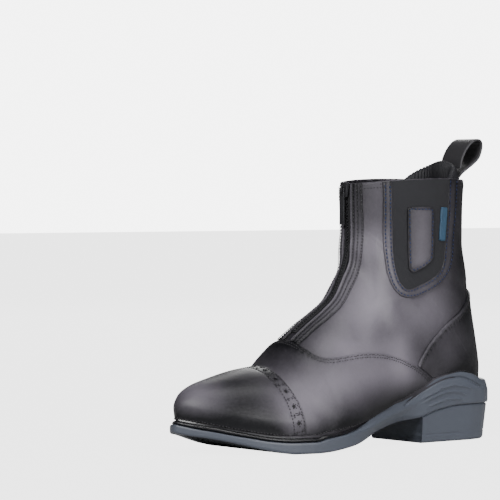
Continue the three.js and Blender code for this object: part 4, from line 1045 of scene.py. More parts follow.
@dataclass
class SoleUnit:
    """Outsole with its cup and ribs, heel block, welt, tread and inlays."""

    sole: SoleForm
    stations: int = 220
    edge_round: float = 1.0
    rib_proud: float = 1.0
    rib_half: float = 1.3
    groove_depth: float = 1.3
    groove_half: float = 1.3
    ribs: tuple = (
        ((93, 31.8), (79, 36.5), (64, 41.4), (50, 42.6), (33, 39.3)),
        ((88, 29.8), (77, 34), (64, 37.6), (50, 37.7), (39, 34.4)),
        ((83, 26.7), (71, 30.4), (60, 32.5), (52, 32.4), (43, 30.8)),
    )
    groove: tuple = ((104, 30.5), (96, 34.5), (85, 39.8), (64, 47.1), (49, 48.7), (39, 47.1), (29, 43.2),
                     (22, 40.6))
    panel_from: float = 0.555
    panel_to: float = 0.965
    panel_inset: float = 8.5
    panel_depth: float = 1.6

    def tuck(self, a: Array) -> Array:
        """How far the side leans in under the waist."""
        return 4.5 * smoothstep(0.28, 0.36, a) * (1 - smoothstep(0.46, 0.58, a))

    def loop(self, first: float = 0.0, last: float = 1.0, count: int | None = None) -> tuple[Array, Array]:
        """Turning positions and sides once round the sole, outer side first."""
        turns = np.linspace(float(to_turn(first)), float(to_turn(last)), count or self.stations)
        return np.concatenate([turns, turns[::-1]]), np.concatenate([np.ones(len(turns)),
                                                                     -np.ones(len(turns))])

    @staticmethod
    def rounded(insets: Sequence[Array], heights: Sequence[Array], radii: Sequence[float],
                steps: Sequence[int]) -> tuple[Array, Array]:
        """Softens the corners of a wall profile at every station.

        Args:
            insets: Inset of each corner at the stations.
            heights: Height of each corner at the stations.
            radii: How far each corner is softened.
            steps: Number of steps along each straight.

        Returns:
            The insets and heights of the finer profile, station by station.
        """
        p = np.stack([np.stack(np.broadcast_arrays(*insets), 1), np.stack(np.broadcast_arrays(*heights), 1)],
                     -1)
        columns, here = [p[:, 0]], p[:, 0]
        for k in range(1, p.shape[1]):
            if k < p.shape[1] - 1:
                back, on = p[:, k - 1] - p[:, k], p[:, k + 1] - p[:, k]
                lb = np.maximum(np.linalg.norm(back, axis=1), 1e-6)[:, None]
                lo = np.maximum(np.linalg.norm(on, axis=1), 1e-6)[:, None]
                start = p[:, k] + back / lb * np.minimum(radii[k], 0.45 * lb)
                end = p[:, k] + on / lo * np.minimum(radii[k], 0.45 * lo)
            else:
                start = end = p[:, k]
            for t in np.linspace(0, 1, steps[k - 1] + 1)[1:]:
                columns.append(mix(here, start, t))
            if k < p.shape[1] - 1:
                for t in np.linspace(0, 1, 4)[1:]:
                    columns.append((1 - t) ** 2 * start + 2 * t * (1 - t) * p[:, k] + t * t * end)
            here = end
        q = np.stack(columns, 1)
        return q[..., 0], q[..., 1]

    def wall_points(self, turns: Array, sides: Array, inset: Array, height: Array) -> tuple[Array, Array,
                                                                                            Array]:
        """Sideways place, length and height of a wall's grid."""
        x, u = self.sole.outline(turns[:, None] + 0 * inset, sides[:, None] + 0 * inset, inset)
        return x, u, height

    @staticmethod
    def close_column(points: list[Array], faces: list[Array], wall: tuple[Array, Array, Array], column: int,
                     across: int, lift: Callable[[Array, Array], Array] | None = None) -> int:
        """Closes a column of a wall with a sheet between the two sides of the sole.

        Args:
            points: Blocks of points in metres, which grow by one.
            faces: Blocks of faces, which grow by one.
            wall: Sideways place, length and height of the wall's grid.
            column: The column of the grid.
            across: Number of points across.
            lift: Extra height for the sideways place and length.

        Returns:
            The number of points added.
        """
        line = np.stack([part[:, column] for part in wall], -1)
        half = len(line) // 2
        t = np.linspace(0, 1, across)[None, :, None]
        p = mix(line[:half][:, None, :], line[half:][::-1][:, None, :], t).reshape(-1, 3)
        if lift:
            p[:, 2] += lift(p[:, 0], p[:, 1])
        faces.append(grid_faces(half, across, sum(len(block) for block in points)))
        points.append(framed(p))
        return len(p)

    def panel_share(self, x: Array, u: Array, inset: float) -> Array:
        """How deep a point lies in the oval of the tread panel: 0 at its edge, 1 at its middle.

        Args:
            x: Sideways places.
            u: Lengths.
            inset: Distance of the panel from the edge of the sole.

        Returns:
            The depth of each point.
        """
        along = np.clip(u / self.sole.length, 0, 1)
        turn = to_turn(along)
        outer, _ = self.sole.outline(turn, np.ones_like(turn), inset)
        inner, _ = self.sole.outline(turn, -np.ones_like(turn), inset)
        swing = np.clip(((along - self.panel_from) / (self.panel_to - self.panel_from)) * 2 - 1, -1.2, 1.2)
        wide = (x - (outer + inner) / 2) / np.maximum((outer - inner) / 2, 1)
        return 1 - (np.abs(swing) ** 3.2 + np.abs(wide) ** 3.2) ** (1 / 3.2)

    def oval_share(self, x: Array, u: Array, along: float, half_length: float, half_width: float) -> Array:
        """1 inside an oval recess of the underside and 0 outside, with a narrow step."""
        r = np.hypot((u - along * self.sole.length) / half_length, (x - 2) / half_width)
        return 1 - smoothstep(0.97, 1.06, r)

    def underside_relief(self, x: Array, u: Array) -> Array:
        """Recesses of the underside: tread panel, badge and stripe."""
        panel = smoothstep(0.0, 0.02, self.panel_share(x, u, self.panel_inset - 0.6)) * self.panel_depth
        badge = self.oval_share(x, u, 0.475, 17.0, 9.5)
        stripe = self.oval_share(x, u, 0.355, 15.0, 3.4)
        return np.maximum(panel, np.maximum(badge, stripe))

    def outsole(self) -> bpy.types.Object:
        """The outsole, from its tread side up to the rim of the cup.

        Returns:
            The object.
        """
        s = self.sole
        turns, sides = self.loop()
        a = to_along(turns)
        cup = 1 - smoothstep(0.45, 0.56, a)
        low, top, rim, tuck = s.underside(a), s.side_top(a), s.rim_top(a), self.tuck(a)
        zero = 0 * a
        inset, height = self.rounded(
            [self.edge_round + tuck, tuck * 0.6, zero, mix(1.2, 1.8, cup), zero + 2.4, zero + 12],
            [low, low + self.edge_round + tuck * 0.5, top, mix(top, rim - 1, cup), rim, rim],
            [0, 1.0, 1.6, 1.0, 0.7, 0], [1, 20, 20, 2, 3])
        x, u, z = self.wall_points(turns, sides, inset, height)
        side_view = np.stack([u.ravel(), z.ravel()], -1)
        relief = np.zeros(len(side_view))
        near = (side_view[:, 0] < 112) & (side_view[:, 1] > 20)
        # Painted light of the ribs: a painted highlight on each crest and painted shade just below it.
        rib_painted_light = np.zeros(len(side_view))
        for rib in self.ribs:
            line = spline(rib, 0.6)
            fade = smoothstep(0, 6, side_view[near, 0] - line[-1, 0])
            fade = fade * smoothstep(0, 9, line[0, 0] - side_view[near, 0])
            gap = line_distance(side_view[near], line)
            relief[near] += self.rib_proud * bell(gap, self.rib_half) * fade
            rib_painted_light[near] += (0.22 * bell(gap, 0.9) - 0.3 * bell(gap - 1.9, 0.9)) * fade
        gone = line_distance(side_view[near], spline(self.groove, 0.8))
        relief[near] -= self.groove_depth * bell(gone, self.groove_half)
        relief = relief.reshape(inset.shape)
        x, u, z = self.wall_points(turns, sides, inset - relief, height)
        n, m = x.shape
        points = [to_frame(x, u, z).reshape(-1, 3)]
        closed = np.arange(n * m).reshape(n, m)
        faces = [np.stack([closed[:-1, :-1], closed[:-1, 1:], closed[1:, 1:], closed[1:, :-1]],
                          -1).reshape(-1, 4)]
        # Tone of the wall: a painted highlight along the top edge of the forefoot's side, painted shade in the
        # groove under the cup's rim, and the painted light of the ribs.
        shade = [(0.55 + 0.25 * bell(height - top[:, None], 1.2) * (1 - cup[:, None]) - 0.6 * np.clip(-relief,
                                                                                                      0, 0.8)
                  + rib_painted_light.reshape(relief.shape)).ravel()]
        # The underside and the closed top get a darker fixed tone, a painted shade under the sole and under the
        # upper.
        for column, across, lift in ((0, 90, self.underside_relief), (m - 1, 6, None)):
            added = self.close_column(points, faces, (x, u, z), column, across, lift)
            shade.append(np.full(added, 0.22))
        return make_piece("outsole_rubber", np.vstack(points), np.vstack(faces), SOLE, ["outsole"],
                          smooth=Smooth.CRISP, tone=np.concatenate(shade))

    def heel(self) -> bpy.types.Object:
        """The heel block with its flat breast and softened edges.

        Returns:
            The object.
        """
        s = self.sole
        last = (s.heel_start + s.heel_length) / s.length
        turns, sides = self.loop(0.0, last, 110)
        a = to_along(turns)
        back = 1 - smoothstep(0, 0.12, a)
        lean = 1.2 + mix(1.3, 3.2, back)
        top = s.underside(a) - CLEARANCE
        inset, height = self.rounded(
            [lean + 1.0, lean, 1.2 + 0 * a, 2.2 + 0 * a], [0 * a, 0.9 + 0 * a, top - 0.8, top],
            [0, 0.8, 0.6, 0], [1, 26, 1])
        lift_line = 0.35 * bell(height - 6.2, 0.7)
        x, u, z = self.wall_points(turns, sides, inset + lift_line, height)
        n, m = x.shape
        points, faces = [to_frame(x, u, z).reshape(-1, 3)], [grid_faces(n, m)]
        half = n // 2
        breast = np.stack([np.stack([x[half - 1], u[half - 1], z[half - 1]], -1),
                           np.stack([x[half], u[half], z[half]], -1)], 1)
        t = np.linspace(0, 1, 24)[None, :, None]
        p = mix(breast[:, 0][:, None, :], breast[:, 1][:, None, :], t)
        faces.append(grid_faces(m, 24, len(points[0])))
        p = p.reshape(-1, 3)
        points.append(framed(p))
        for column in (0, m - 1):
            self.close_column(points, faces, (x, u, z), column, 24)
        return make_piece("heel_rubber", np.vstack(points), np.vstack(faces), SOLE, ["heel_block"],
                          smooth=Smooth.CRISP, tone=np.full(sum(len(q) for q in points), 0.5))

    def welt(self) -> bpy.types.Object:
        """The rolled welt on the ledge of the forefoot.

        Returns:
            The object.
        """
        s = self.sole
        turns, sides = self.loop(0.52, 1.0, 420)
        a = to_along(turns)
        foot = s.rim_top(a) + CLEARANCE
        top = np.maximum(s.welt_top(a), foot + 0.4)
        zero = 0 * a
        tall = top - foot
        rope = 0.22 * np.sin(np.arange(len(a)) * 2.1) * smoothstep(1, 3, tall)
        mid = mix(foot, top, 0.5)
        inset, height = self.rounded(
            [zero + 9, zero + 2.6, zero + 1.3, zero + 2.7, zero + 3.9, zero + 4.6, zero + 9],
            [foot, foot, mix(foot, top, 0.28), mix(foot, top, 0.55), mid + tall * 0.02, top + rope * 0.3,
             top - tall * 0.1],
            [0, 1.0, 1.0, 0.4, 0.4, 0.8, 0], [2, 2, 3, 2, 2, 3])
        x, u, z = self.wall_points(turns, sides, inset, height)
        n, m = x.shape
        faces = [grid_faces(n, m)]
        ring = np.arange(n - 1)
        faces.append(np.stack([ring * m + m - 1, ring * m, (ring + 1) * m, (ring + 1) * m + m - 1], -1))
        faces = [list(f) for block in faces for f in block]
        faces.append(list(range(m)))
        faces.append([n * m - 1 - k for k in range(m)])
        return make_piece("welt_bead", to_frame(x, u, z).reshape(-1, 3), faces, WELT_SKIN, ["welt"],
                          tone=np.full(n * m, 0.45))

    def tread(self) -> bpy.types.Object:
        """The forefoot tread panel, an oval with zigzag ribs.

        Returns:
            The object.
        """
        s = self.sole
        sweep = np.linspace(0, 1, 130)
        swing = -np.cos(math.pi * sweep)
        along = mix(self.panel_from, self.panel_to, (1 + swing) / 2)
        turn = to_turn(along)
        outer, _ = s.outline(turn, np.ones_like(turn), self.panel_inset + CLEARANCE + 0.4)
        inner, _ = s.outline(turn, -np.ones_like(turn), self.panel_inset + CLEARANCE + 0.4)
        full = (1 - np.abs(swing) ** 3.2) ** (1 / 3.2)
        t = np.linspace(-1, 1, 110)[None, :]
        x = ((outer + inner) / 2)[:, None] + ((outer - inner) / 2 * full)[:, None] * t
        u = (along * s.length)[:, None] + 0 * x
        zig = np.abs(((x / 9.0) % 2) - 1) * 8.0
        groove = bell(((u + zig) % 5.0) - 2.5, 0.9)
        edge = np.minimum(1, np.maximum(0, self.panel_share(x, u, self.panel_inset + CLEARANCE + 0.4)) * 18)
        bars = np.zeros_like(x)
        for at in (0.80, 0.665):
            middle = to_turn(at)
            centre = (s.outline(middle, np.array(1.0), 0)[0] + s.outline(middle, np.array(-1.0), 0)[0]) / 2
            side = (x - centre) / 26.0
            line = at * s.length - 7 * (1 - side**2)
            bars = np.maximum(bars, (1 - smoothstep(2.0, 2.4, np.abs(u - line))) * (np.abs(side) < 1.02))
        depth = 0.9 * groove * edge
        low = s.underside(u / s.length) + np.maximum(depth, bars * 1.25) + 0.15 * (1 - edge)
        high = s.underside(u / s.length) + self.panel_depth - CLEARANCE + 0 * x
        n, m = x.shape
        points = np.vstack([to_frame(x, u, low).reshape(-1, 3), to_frame(x, u, high).reshape(-1, 3)])
        faces = [list(f) for f in np.vstack([grid_faces(n, m), grid_faces(n, m, n * m)])]
        rim = [k * m for k in range(n)], [k * m + m - 1 for k in range(n)]
        for edge_line in rim:
            for a, b in zip(edge_line[:-1], edge_line[1:]):
                faces.append([a, b, b + n * m, a + n * m])
        # The tone is darker in the zigzag grooves: painted shade in the grooves.
        return make_piece("tread_zigzag", points, faces, TREAD, ["tread_panel"],
                          smooth=Smooth.CRISP,
                          tone=0.5 - 0.4 * np.concatenate([depth.ravel(), depth.ravel()]))

    def insole(self) -> bpy.types.Object:
        """The padded insole, crowned a little inside the wall.

        Returns:
            The object.
        """
        s = self.sole
        turns, sides = self.loop(0.0, 0.985, 150)
        a = to_along(turns)
        low = s.seat_top(a) + CLEARANCE
        zero = 0 * a
        inset, height = self.rounded([zero + 12, zero + 7.2, zero + 7.2, zero + 12],
                                     [low + 0.2, low + 0.2, low + 3.1, low + 3.3], [0, 0.8, 1.4, 0],
                                     [1, 2, 2])
        x, u, z = self.wall_points(turns, sides, inset, height)
        n, m = x.shape
        half = n // 2
        points, faces = [to_frame(x, u, z).reshape(-1, 3)], [grid_faces(n, m)]
        for column in (0, m - 1):
            self.close_column(points, faces, (x, u, z), column, 12)
        faces = [list(f) for block in faces for f in block]
        faces.append([(half - 1) * m + k for k in range(m)] + [half * m + k for k in range(m - 1, -1, -1)])
        return make_piece("insole_pad", np.vstack(points), faces, LINING, ["insole"])

    def inlays(self) -> None:
        """Gives the blue inlays, kept from the frame, their finish."""
        for name in ("flex_bar_front", "flex_bar_rear", "sole_badge", "waist_stripe"):
            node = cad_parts[name]
            for slot in node.material_slots:
                slot.material = BLUE.material()
            log.info("%s: kept with blue rubber", name)

    def build(self) -> None:
        """Builds every piece of the unit."""
        self.outsole()
        self.heel()
        self.welt()
        self.tread()
        self.insole()
        self.inlays()


# The upper


@dataclass
class Layer:
    """One leather or elastic panel laid on the form."""

    name: str
    nodes: tuple[str, ...]
    shape: Callable[[Array], Array]
    low: float
    high: float
    rows: tuple[float, float]
    finish: Finish
    slot: str = "leather"
    step: float = 2.2
    columns: int = 150
    span: tuple[float, float] = (0.0, 1.0)
    edge: float = 0.7
    troughs: tuple[float, ...] = ()
    ridges: tuple[float, ...] = ()
    stitch: tuple[float, ...] = ()
    burnish: float = 7.0
    guide: Callable[[Array], Array] | None = None
    taper: tuple[float, float, float] | None = None
    ribs: float = 0.0


class Hole(Enum):
    """Radius of the punched holes of the toe cap."""

    LARGE = 1.35
    SMALL = 0.7


class Upper:
    """The leather upper: hollow wall, panels, creases and stitches."""

    TUCK_SHARE = 0.42
    TUCK_HEIGHT = 11.0
    HOLE_PITCH = 12.6
    HOLE_MARGIN = 6.0
    VAMP = ((193.2, 83.4), (190.5, 79.4), (189.8, 76.7), (187.8, 73.2), (183.9, 69), (176.1, 67.8),
            (163.5, 69.3),
            (149.7, 70.7), (135.5, 70.6), (120.8, 68.6), (105.6, 64.2), (91.4, 58.4), (75.7, 49.3), (60, 39))
    COUNTER = ((93, 55), (89.7, 63.6), (77.8, 77.6), (67.5, 85.5), (58.5, 91.5), (46.5, 98.6), (33.6, 107.4),
               (21.9, 114.6), (5.8, 123.3), (-10, 130))
    CAP = ((208.1, -6), (208.1, 0), (208.9, 13.4), (210.7, 35.6), (213.9, 53.5), (215.1, 62.4), (215.7, 92))
    GORE = ((110.8, 220), (111.2, 197), (110.5, 180), (109.4, 164), (108, 139), (106.9, 129), (104.4, 121.7),
            (98.3, 117.1),
            (84.5, 120.9), (71.6, 128), (65.8, 135.5), (64, 151), (60.6, 172), (59.7, 197), (59.5, 220))
    BAND = ((117.4, 220), (117.2, 197), (115.8, 164), (114.9, 143), (114, 129), (109.4, 116.5), (100.8, 111),
            (88.3, 112),
            (73.3, 118), (62.3, 126), (55.3, 137), (52.7, 155), (49.4, 176), (48.1, 197), (47.8, 220))
    PATCH = ((100.1, 179.4), (76.7, 179.3), (76.3, 160), (76.2, 140), (82, 135), (93, 129.3), (96.6, 131.8),
             (97.9, 147.4))
    TAB = ((69.1, 179.3), (62.1, 178.8), (64.6, 153.2), (71, 153.7))

    def __init__(self, sole: SoleForm, form: UpperForm) -> None:
        """Prepares the outlines.

        Args:
            sole: The sole's form.
            form: The upper's form.
        """
        self.sole, self.form = sole, form
        far = 420.0
        vamp = spline(self.VAMP, 1.5)
        self.vamp_area = np.vstack([vamp, [(20, 20), (20, -90), (far, -90), (far, 160), (193.2, 160)]])
        counter = spline(self.COUNTER, 1.5)
        self.counter_area = np.vstack([counter, [(-60, 130), (-60, -60), (93, -60)]])
        cap = spline(self.CAP, 1.5)
        self.cap_area = np.vstack([cap, [(far, 92), (far, -6)]])
        self.gore_area, self.band_area = spline(self.GORE, 1.5), spline(self.BAND, 1.5)
        self.patch_area = self.soft_corners(self.PATCH, 3.0)
        self.tab_area = self.soft_corners(self.TAB, 1.2)
        self.samples = np.linspace(0, 1, 25)
        self.hole_places: list[tuple[Array, float]] = []
        self.threads: dict[str, list[tuple[Array, Array]]] = {"navy": [], "black": []}

    @staticmethod
    def soft_corners(corners: Sequence[Sequence[float]], radius: float) -> Array:
        """A closed outline whose corners are rounded.

        Args:
            corners: Corner points.
            radius: How far each corner is softened.

        Returns:
            Points of the outline.
        """
        p = np.asarray(corners, float)
        line = []
        for k in range(len(p)):
            back, on = p[k - 1] - p[k], p[(k + 1) % len(p)] - p[k]
            a = p[k] + back / np.linalg.norm(back) * min(radius, 0.45 * np.linalg.norm(back))
            b = p[k] + on / np.linalg.norm(on) * min(radius, 0.45 * np.linalg.norm(on))
            line += [(1 - t) ** 2 * a + 2 * t * (1 - t) * p[k] + t * t * b for t in np.linspace(0, 1, 6)]
        return np.array(line)

    def row_numbers(self, first: float, last: float, step: float) -> Array:
        """Row numbers from first to last, an even step apart on the form.

        Args:
            first: First row number.
            last: Last row number.
            step: Distance between rows or points.

        Returns:
            The row numbers.
        """
        numbers = [first]
        marks = sorted({first, last, *[float(k) for k in range(math.ceil(first), math.floor(last) + 1)]})
        for a, b in zip(marks[:-1], marks[1:]):
            pa = self.form.form(np.full(25, a), self.samples)
            pb = self.form.form(np.full(25, b), self.samples)
            count = max(1, int(np.ceil(np.percentile(np.linalg.norm(pa - pb, axis=1), 80) / step)))
            numbers += list(np.linspace(a, b, count + 1)[1:])
        return np.array(numbers)

    @staticmethod
    def creases(p: Array) -> Array:
        """Troughs and swells of the worn leather, in millimetres outwards.

        Args:
            p: Points as sideways place, length and height.

        Returns:
            Distance outwards for each point.
        """
        x, u, z = p[:, 0], p[:, 1], p[:, 2]
        out = np.zeros(len(p))
        side_view = np.stack([u, z], -1)
        folds = (
            (((141, 150), (131, 128), (134, 104), (144, 84)), 9.0, -1.3),
            (((118, 108), (132, 98), (146, 94)), 7.0, -0.7),
            (((52, 122), (40, 116), (28, 118)), 7.0, -0.6),
            (((104, 104), (92, 92), (86, 80)), 10.0, -0.6),
            (((205, 40), (196, 30), (190, 22)), 8.0, -0.5),
            (((170, 58), (160, 40), (158, 26)), 12.0, 0.7),
            (((124, 150), (120, 120), (112, 92)), 11.0, 0.8),
        )
        for line, half, height in folds:
            out += height * bell(line_distance(side_view, fixed_line(line, 2.0)), half)
        flex = (
            (((188, 79, 0), (186, 66, 26), (182, 46, 40), (180, 30, 46)), 4.5, -0.35),
            (((198, 74, -6), (197, 60, 24), (195, 44, 38)), 4.0, -0.3),
            (((178, 86, -4), (172, 66, -30), (168, 46, -40)), 5.0, -0.35),
            (((203, 66, 12), (202, 54, 28), (201, 42, 38)), 3.0, -0.2),
        )
        solid = np.stack([u, z, x], -1)
        for line, half, height in flex:
            out += height * bell(line_distance(solid, fixed_line(line, 2.0)), half)
        return out

    @staticmethod
    def painted_highlights(p: Array) -> Array:
        """Painted highlights in the leather's tone: soft lamp reflections on the quarter, vamp side, cap crown and
        bands.

        Args:
            p: Points as sideways place, length and height.

        Returns:
            Painted highlight tone of each point.
        """
        x, u, z = p[:, 0], p[:, 1], p[:, 2]
        side_view = np.stack([u, z], -1)
        tone = np.full(len(p), 0.05)
        # Each patch is a painted highlight, a lamp's soft reflection on the leather, fading out towards the toe.
        for line, half, gain in (
            (((120, 196), (120, 170), (121, 150)), 10.0, 0.20),
            (((121, 150), (123, 128), (134, 104), (150, 87), (160, 79)), 15.0, 0.40),
            (((84, 100), (104, 98), (122, 104)), 24.0, 0.44),
            (((112, 60), (150, 56), (180, 50), (200, 40), (220, 30)), 17.0, 0.62),
            (((70, 44), (92, 52), (112, 58)), 12.0, 0.22),
            (((88, 174), (86, 140)), 11.0, 0.34),
            (((61, 190), (63, 130)), 9.0, 0.14),
            (((110, 190), (112, 130)), 5.0, 0.08),
            (((66, 106), (58, 60)), 16.0, 0.10),
            (((110, 76), (150, 74), (176, 74)), 9.0, 0.20),
        ):
            near = line_distance(side_view, fixed_line(line, 2.0))
            tone += gain * np.exp(-((near / half) ** 2)) * smoothstep(238, 212, u)
        # Painted highlights on the toe cap: a bright spot at its tip and a smaller one further back.
        tip = np.exp(-(((u - 272) / 14) ** 2) - ((z - 40) / 11) ** 2 - ((x + 8) / 22) ** 2)
        return np.clip(tone + 0.62 * tip + 0.16 * np.exp(-(((u - 230) / 12) ** 2) - ((z - 38) / 12) ** 2), 0,
                       1)

    def ledge(self, u: Array) -> Array:
        """Height of the ledge or the welt that the leather comes down to."""
        along = np.clip(u / self.sole.length, 0, 1)
        return np.maximum(self.sole.rim_top(along), self.sole.welt_top(along))

    def tucked(self, u: Array, z: Array) -> Array:
        """Share of its thickness that the leather keeps close above the ledge."""
        return mix(self.TUCK_SHARE, 1.0, smoothstep(0, self.TUCK_HEIGHT, z - self.ledge(u)))

    def lay(self, layer: Layer) -> bpy.types.Object:
        """Lays a panel on the form.

        Args:
            layer: The panel.

        Returns:
            The object.
        """
        rows = self.row_numbers(layer.rows[0], layer.rows[1], layer.step)
        columns = np.linspace(layer.span[0], layer.span[1], layer.columns + 1)
        sheet = Sheet(self.form, rows, columns)
        d = layer.shape(sheet.base())
        keep_box = d[sheet.tris].max(1) > -1.0
        used, back = np.unique(sheet.tris[keep_box], return_inverse=True)
        sheet.params, sheet.tris, d = sheet.params[used], back.reshape(-1, 3), d[used]
        guide = layer.guide or layer.shape
        if layer.stitch:
            marks = np.where(d > 0.3, guide(sheet.base()), -50.0)
            for at in layer.stitch:
                self.threads["black"] += [(line, layer.high) for line in sheet.level_lines(marks, at)]
        d = sheet.split(d, 0.0, 0.12)
        d = sheet.keep(d)
        for level in (0.25 * layer.edge, layer.edge, 2.2):
            d = sheet.split(d, level, 0.08)
        p = sheet.base()
        roll = np.clip(d / layer.edge, 0, 1)
        roll = np.sqrt(np.maximum(0.0, 1 - (1 - roll) ** 2))
        out = mix(layer.low + 0.35 * (layer.high - layer.low), layer.high, roll)
        if layer.taper:
            start, end, drop = layer.taper
            out -= drop * smoothstep(start, end, np.abs(p[:, 0]))
        away = guide(p) if layer.guide else d
        for at in layer.troughs:
            out -= 0.36 * bell(away - at, 1.1)
        for at in layer.ridges:
            out += 0.4 * bell(away - at, 1.5)
        crease = self.creases(p)
        tuck = self.tucked(p[:, 1], p[:, 2])
        outer = self.form.surface(sheet.params[:, 0], sheet.params[:, 1], out * tuck + crease)
        inner = self.form.surface(sheet.params[:, 0], sheet.params[:, 1], layer.low * tuck + crease)
        # Painted highlights, with the panel's edges burnished darker.
        tone = self.painted_highlights(p) - 0.16 * np.exp(-d / layer.burnish)
        # Painted shade in the stitch troughs and painted highlights on the ridges, such as the piping beside the
        # zip.
        for at in layer.troughs:
            tone -= 0.12 * bell(away - at, 0.9)
        for at in layer.ridges:
            tone += 0.28 * bell(away - at, 1.3)
        # Painted light and shade of the elastic's ribs, lighter crests and darker valleys, in place of the painted
        # highlights; the mesh has no ribs.
        if layer.ribs:
            wave = np.cos(2 * math.pi * p[:, 1] / layer.ribs)
            wave = wave + 0.6 * np.cos(2 * math.pi * p[:, 2] / (layer.ribs * 1.2))
            tone = 0.35 + 0.4 * wave
        return self.close(layer, sheet, outer, inner, tone)

    def close(self, layer: Layer, sheet: Sheet, outer: Array, inner: Array, tone: Array) -> bpy.types.Object:
        """Closes a sheet with its inner face and its edge.

        Args:
            layer: The panel.
            sheet: The sheet.
            outer: Outer points.
            inner: Inner points.
            tone: Shade of each point.

        Returns:
            The object.
        """
        count = len(outer)
        tris = sheet.tris
        directed = np.vstack([tris[:, [0, 1]], tris[:, [1, 2]], tris[:, [2, 0]]])
        key = np.sort(directed, axis=1)
        _, index, number = np.unique(key, axis=0, return_index=True, return_counts=True)
        rim = directed[index[number == 1]]
        row, across = sheet.params[:, 0], sheet.params[:, 1]
        seam = (row >= self.form.last_foot - 1e-6) & ((across <= 1e-9) | (across >= 1 - 1e-9))
        tip = row <= 1e-9
        rim = rim[~((seam[rim[:, 0]] & seam[rim[:, 1]]) | (tip[rim[:, 0]] & tip[rim[:, 1]]))]
        faces = [list(t) for t in tris] + [[c + count, b + count, a + count] for a, b, c in tris]
        faces += [[b, a, a + count, b + count] for a, b in rim]
        points = np.vstack([outer, inner])
        # The inner face gets the tone at 0.6, a darker painted shade between the panel and the wall.
        return make_piece(layer.name, framed(points), faces, layer.finish,
                          layer.nodes, smooth=Smooth.SOFT,
                          tone=np.concatenate([tone, tone * 0.6]))

    def wall(self) -> bpy.types.Object:
        """The hollow wall of the boot with its lining and rolled collar edge.

        Returns:
            The object.
        """
        rows = self.row_numbers(0, self.form.top_row, 3.0)
        columns = np.linspace(0, 1, 145)
        grid = np.stack(np.meshgrid(rows, columns, indexing="ij"), -1)
        r, c = grid[..., 0].ravel(), grid[..., 1].ravel()
        p = self.form.form(r, c)
        crease = self.creases(p)
        edge = 0.5 * np.exp(-(self.form.top_row - r) * 24.0 / 1.2)
        outer = self.form.surface(r, c, crease - edge)
        inner = self.form.surface(r, c, crease - self.form.wall + edge)
        n, m = len(rows), len(columns)
        closing = [outer.reshape(n, m, 3)[-1], None, inner.reshape(n, m, 3)[-1]]
        closing[1] = (closing[0] + closing[2]) / 2 + np.array([0, 0, 0.5])
        points = np.vstack([outer, inner, *closing])
        size = n * m
        faces = [grid_faces(n, m), grid_faces(n, m, size)[:, ::-1], grid_faces(3, m, 2 * size)]
        faces = [list(f) for block in faces for f in block]
        foot_rows = int((rows <= self.form.last_foot + 1e-6).sum())
        for column in (0, m - 1):
            line = [k * m + column for k in range(foot_rows)]
            faces += [[a, b, b + size, a + size] for a, b in zip(line[:-1], line[1:])]
        # Painted highlights on the outer face; the lining face inside gets them at half strength, a darker painted
        # shade inside the shaft.
        tone = self.painted_highlights(p)
        return make_piece("quarters", framed(points), faces, LEATHER, ["upper"],
                          tone=np.concatenate([tone, tone * 0.5, np.full(3 * m, 0.25)]))

    @staticmethod
    def area_field(area: Array) -> Callable[[Array], Array]:
        """Field of an outline on both sides of the boot."""
        return lambda p: signed(p[:, 1:], area)

    def side(self, area: Array, side: int) -> Callable[[Array], Array]:
        """Field of an outline on one side of the boot."""
        return lambda p: np.where(p[:, 0] * side > 4, signed(p[:, 1:], area), -9.0)

    def facing(self, side: int) -> Callable[[Array], Array]:
        """Field of a zip facing, a strip beside the zip above the vamp.

        Args:
            side: 1 on the outer side, -1 on the inner.

        Returns:
            The field.
        """

        def shape(p: Array) -> Array:
            """Field of the strip."""
            strip = np.minimum(p[:, 0] * side - 3.3, 12.5 - p[:, 0] * side)
            above = -signed(p[:, 1:], self.vamp_area) - 0.3
            return np.minimum(np.minimum(strip, above), p[:, 2] - 60)

        return shape

    def holes(self, p: Array) -> Array:
        """Distance to the edge of the nearest punched hole of the cap, positive outside the holes."""
        best = np.full(len(p), 9.0)
        for place, radius in self.hole_places:
            best = np.minimum(best, np.linalg.norm(p - place, axis=1) - radius)
        return best

    def punch(self) -> None:
        """Places the holes along the middle of the cap's band: one large, then two small, over and over."""
        rows = self.row_numbers(5.5, 9.0, 0.7)
        sheet = Sheet(self.form, rows, np.linspace(0, 1, 181))
        depths = signed(sheet.base()[:, 1:], self.cap_area)
        for depth, hole in ((4.9, Hole.LARGE), (2.9, Hole.SMALL), (6.9, Hole.SMALL)):
            lines = sheet.level_lines(depths, depth)
            line = max(lines, key=len)
            points = self.form.form(line[:, 0], line[:, 1])
            middle = int(np.argmax(points[:, 2]))
            run = run_along(points)
            start = run[middle]
            shift = 0.0 if hole is Hole.LARGE else self.HOLE_PITCH / 2
            for k in range(-8, 9):
                at = start + k * self.HOLE_PITCH + shift
                if run[0] + self.HOLE_MARGIN < at < run[-1] - self.HOLE_MARGIN:
                    place = np.array([np.interp(at, run, points[:, j]) for j in range(3)])
                    self.hole_places.append((place, hole.value))

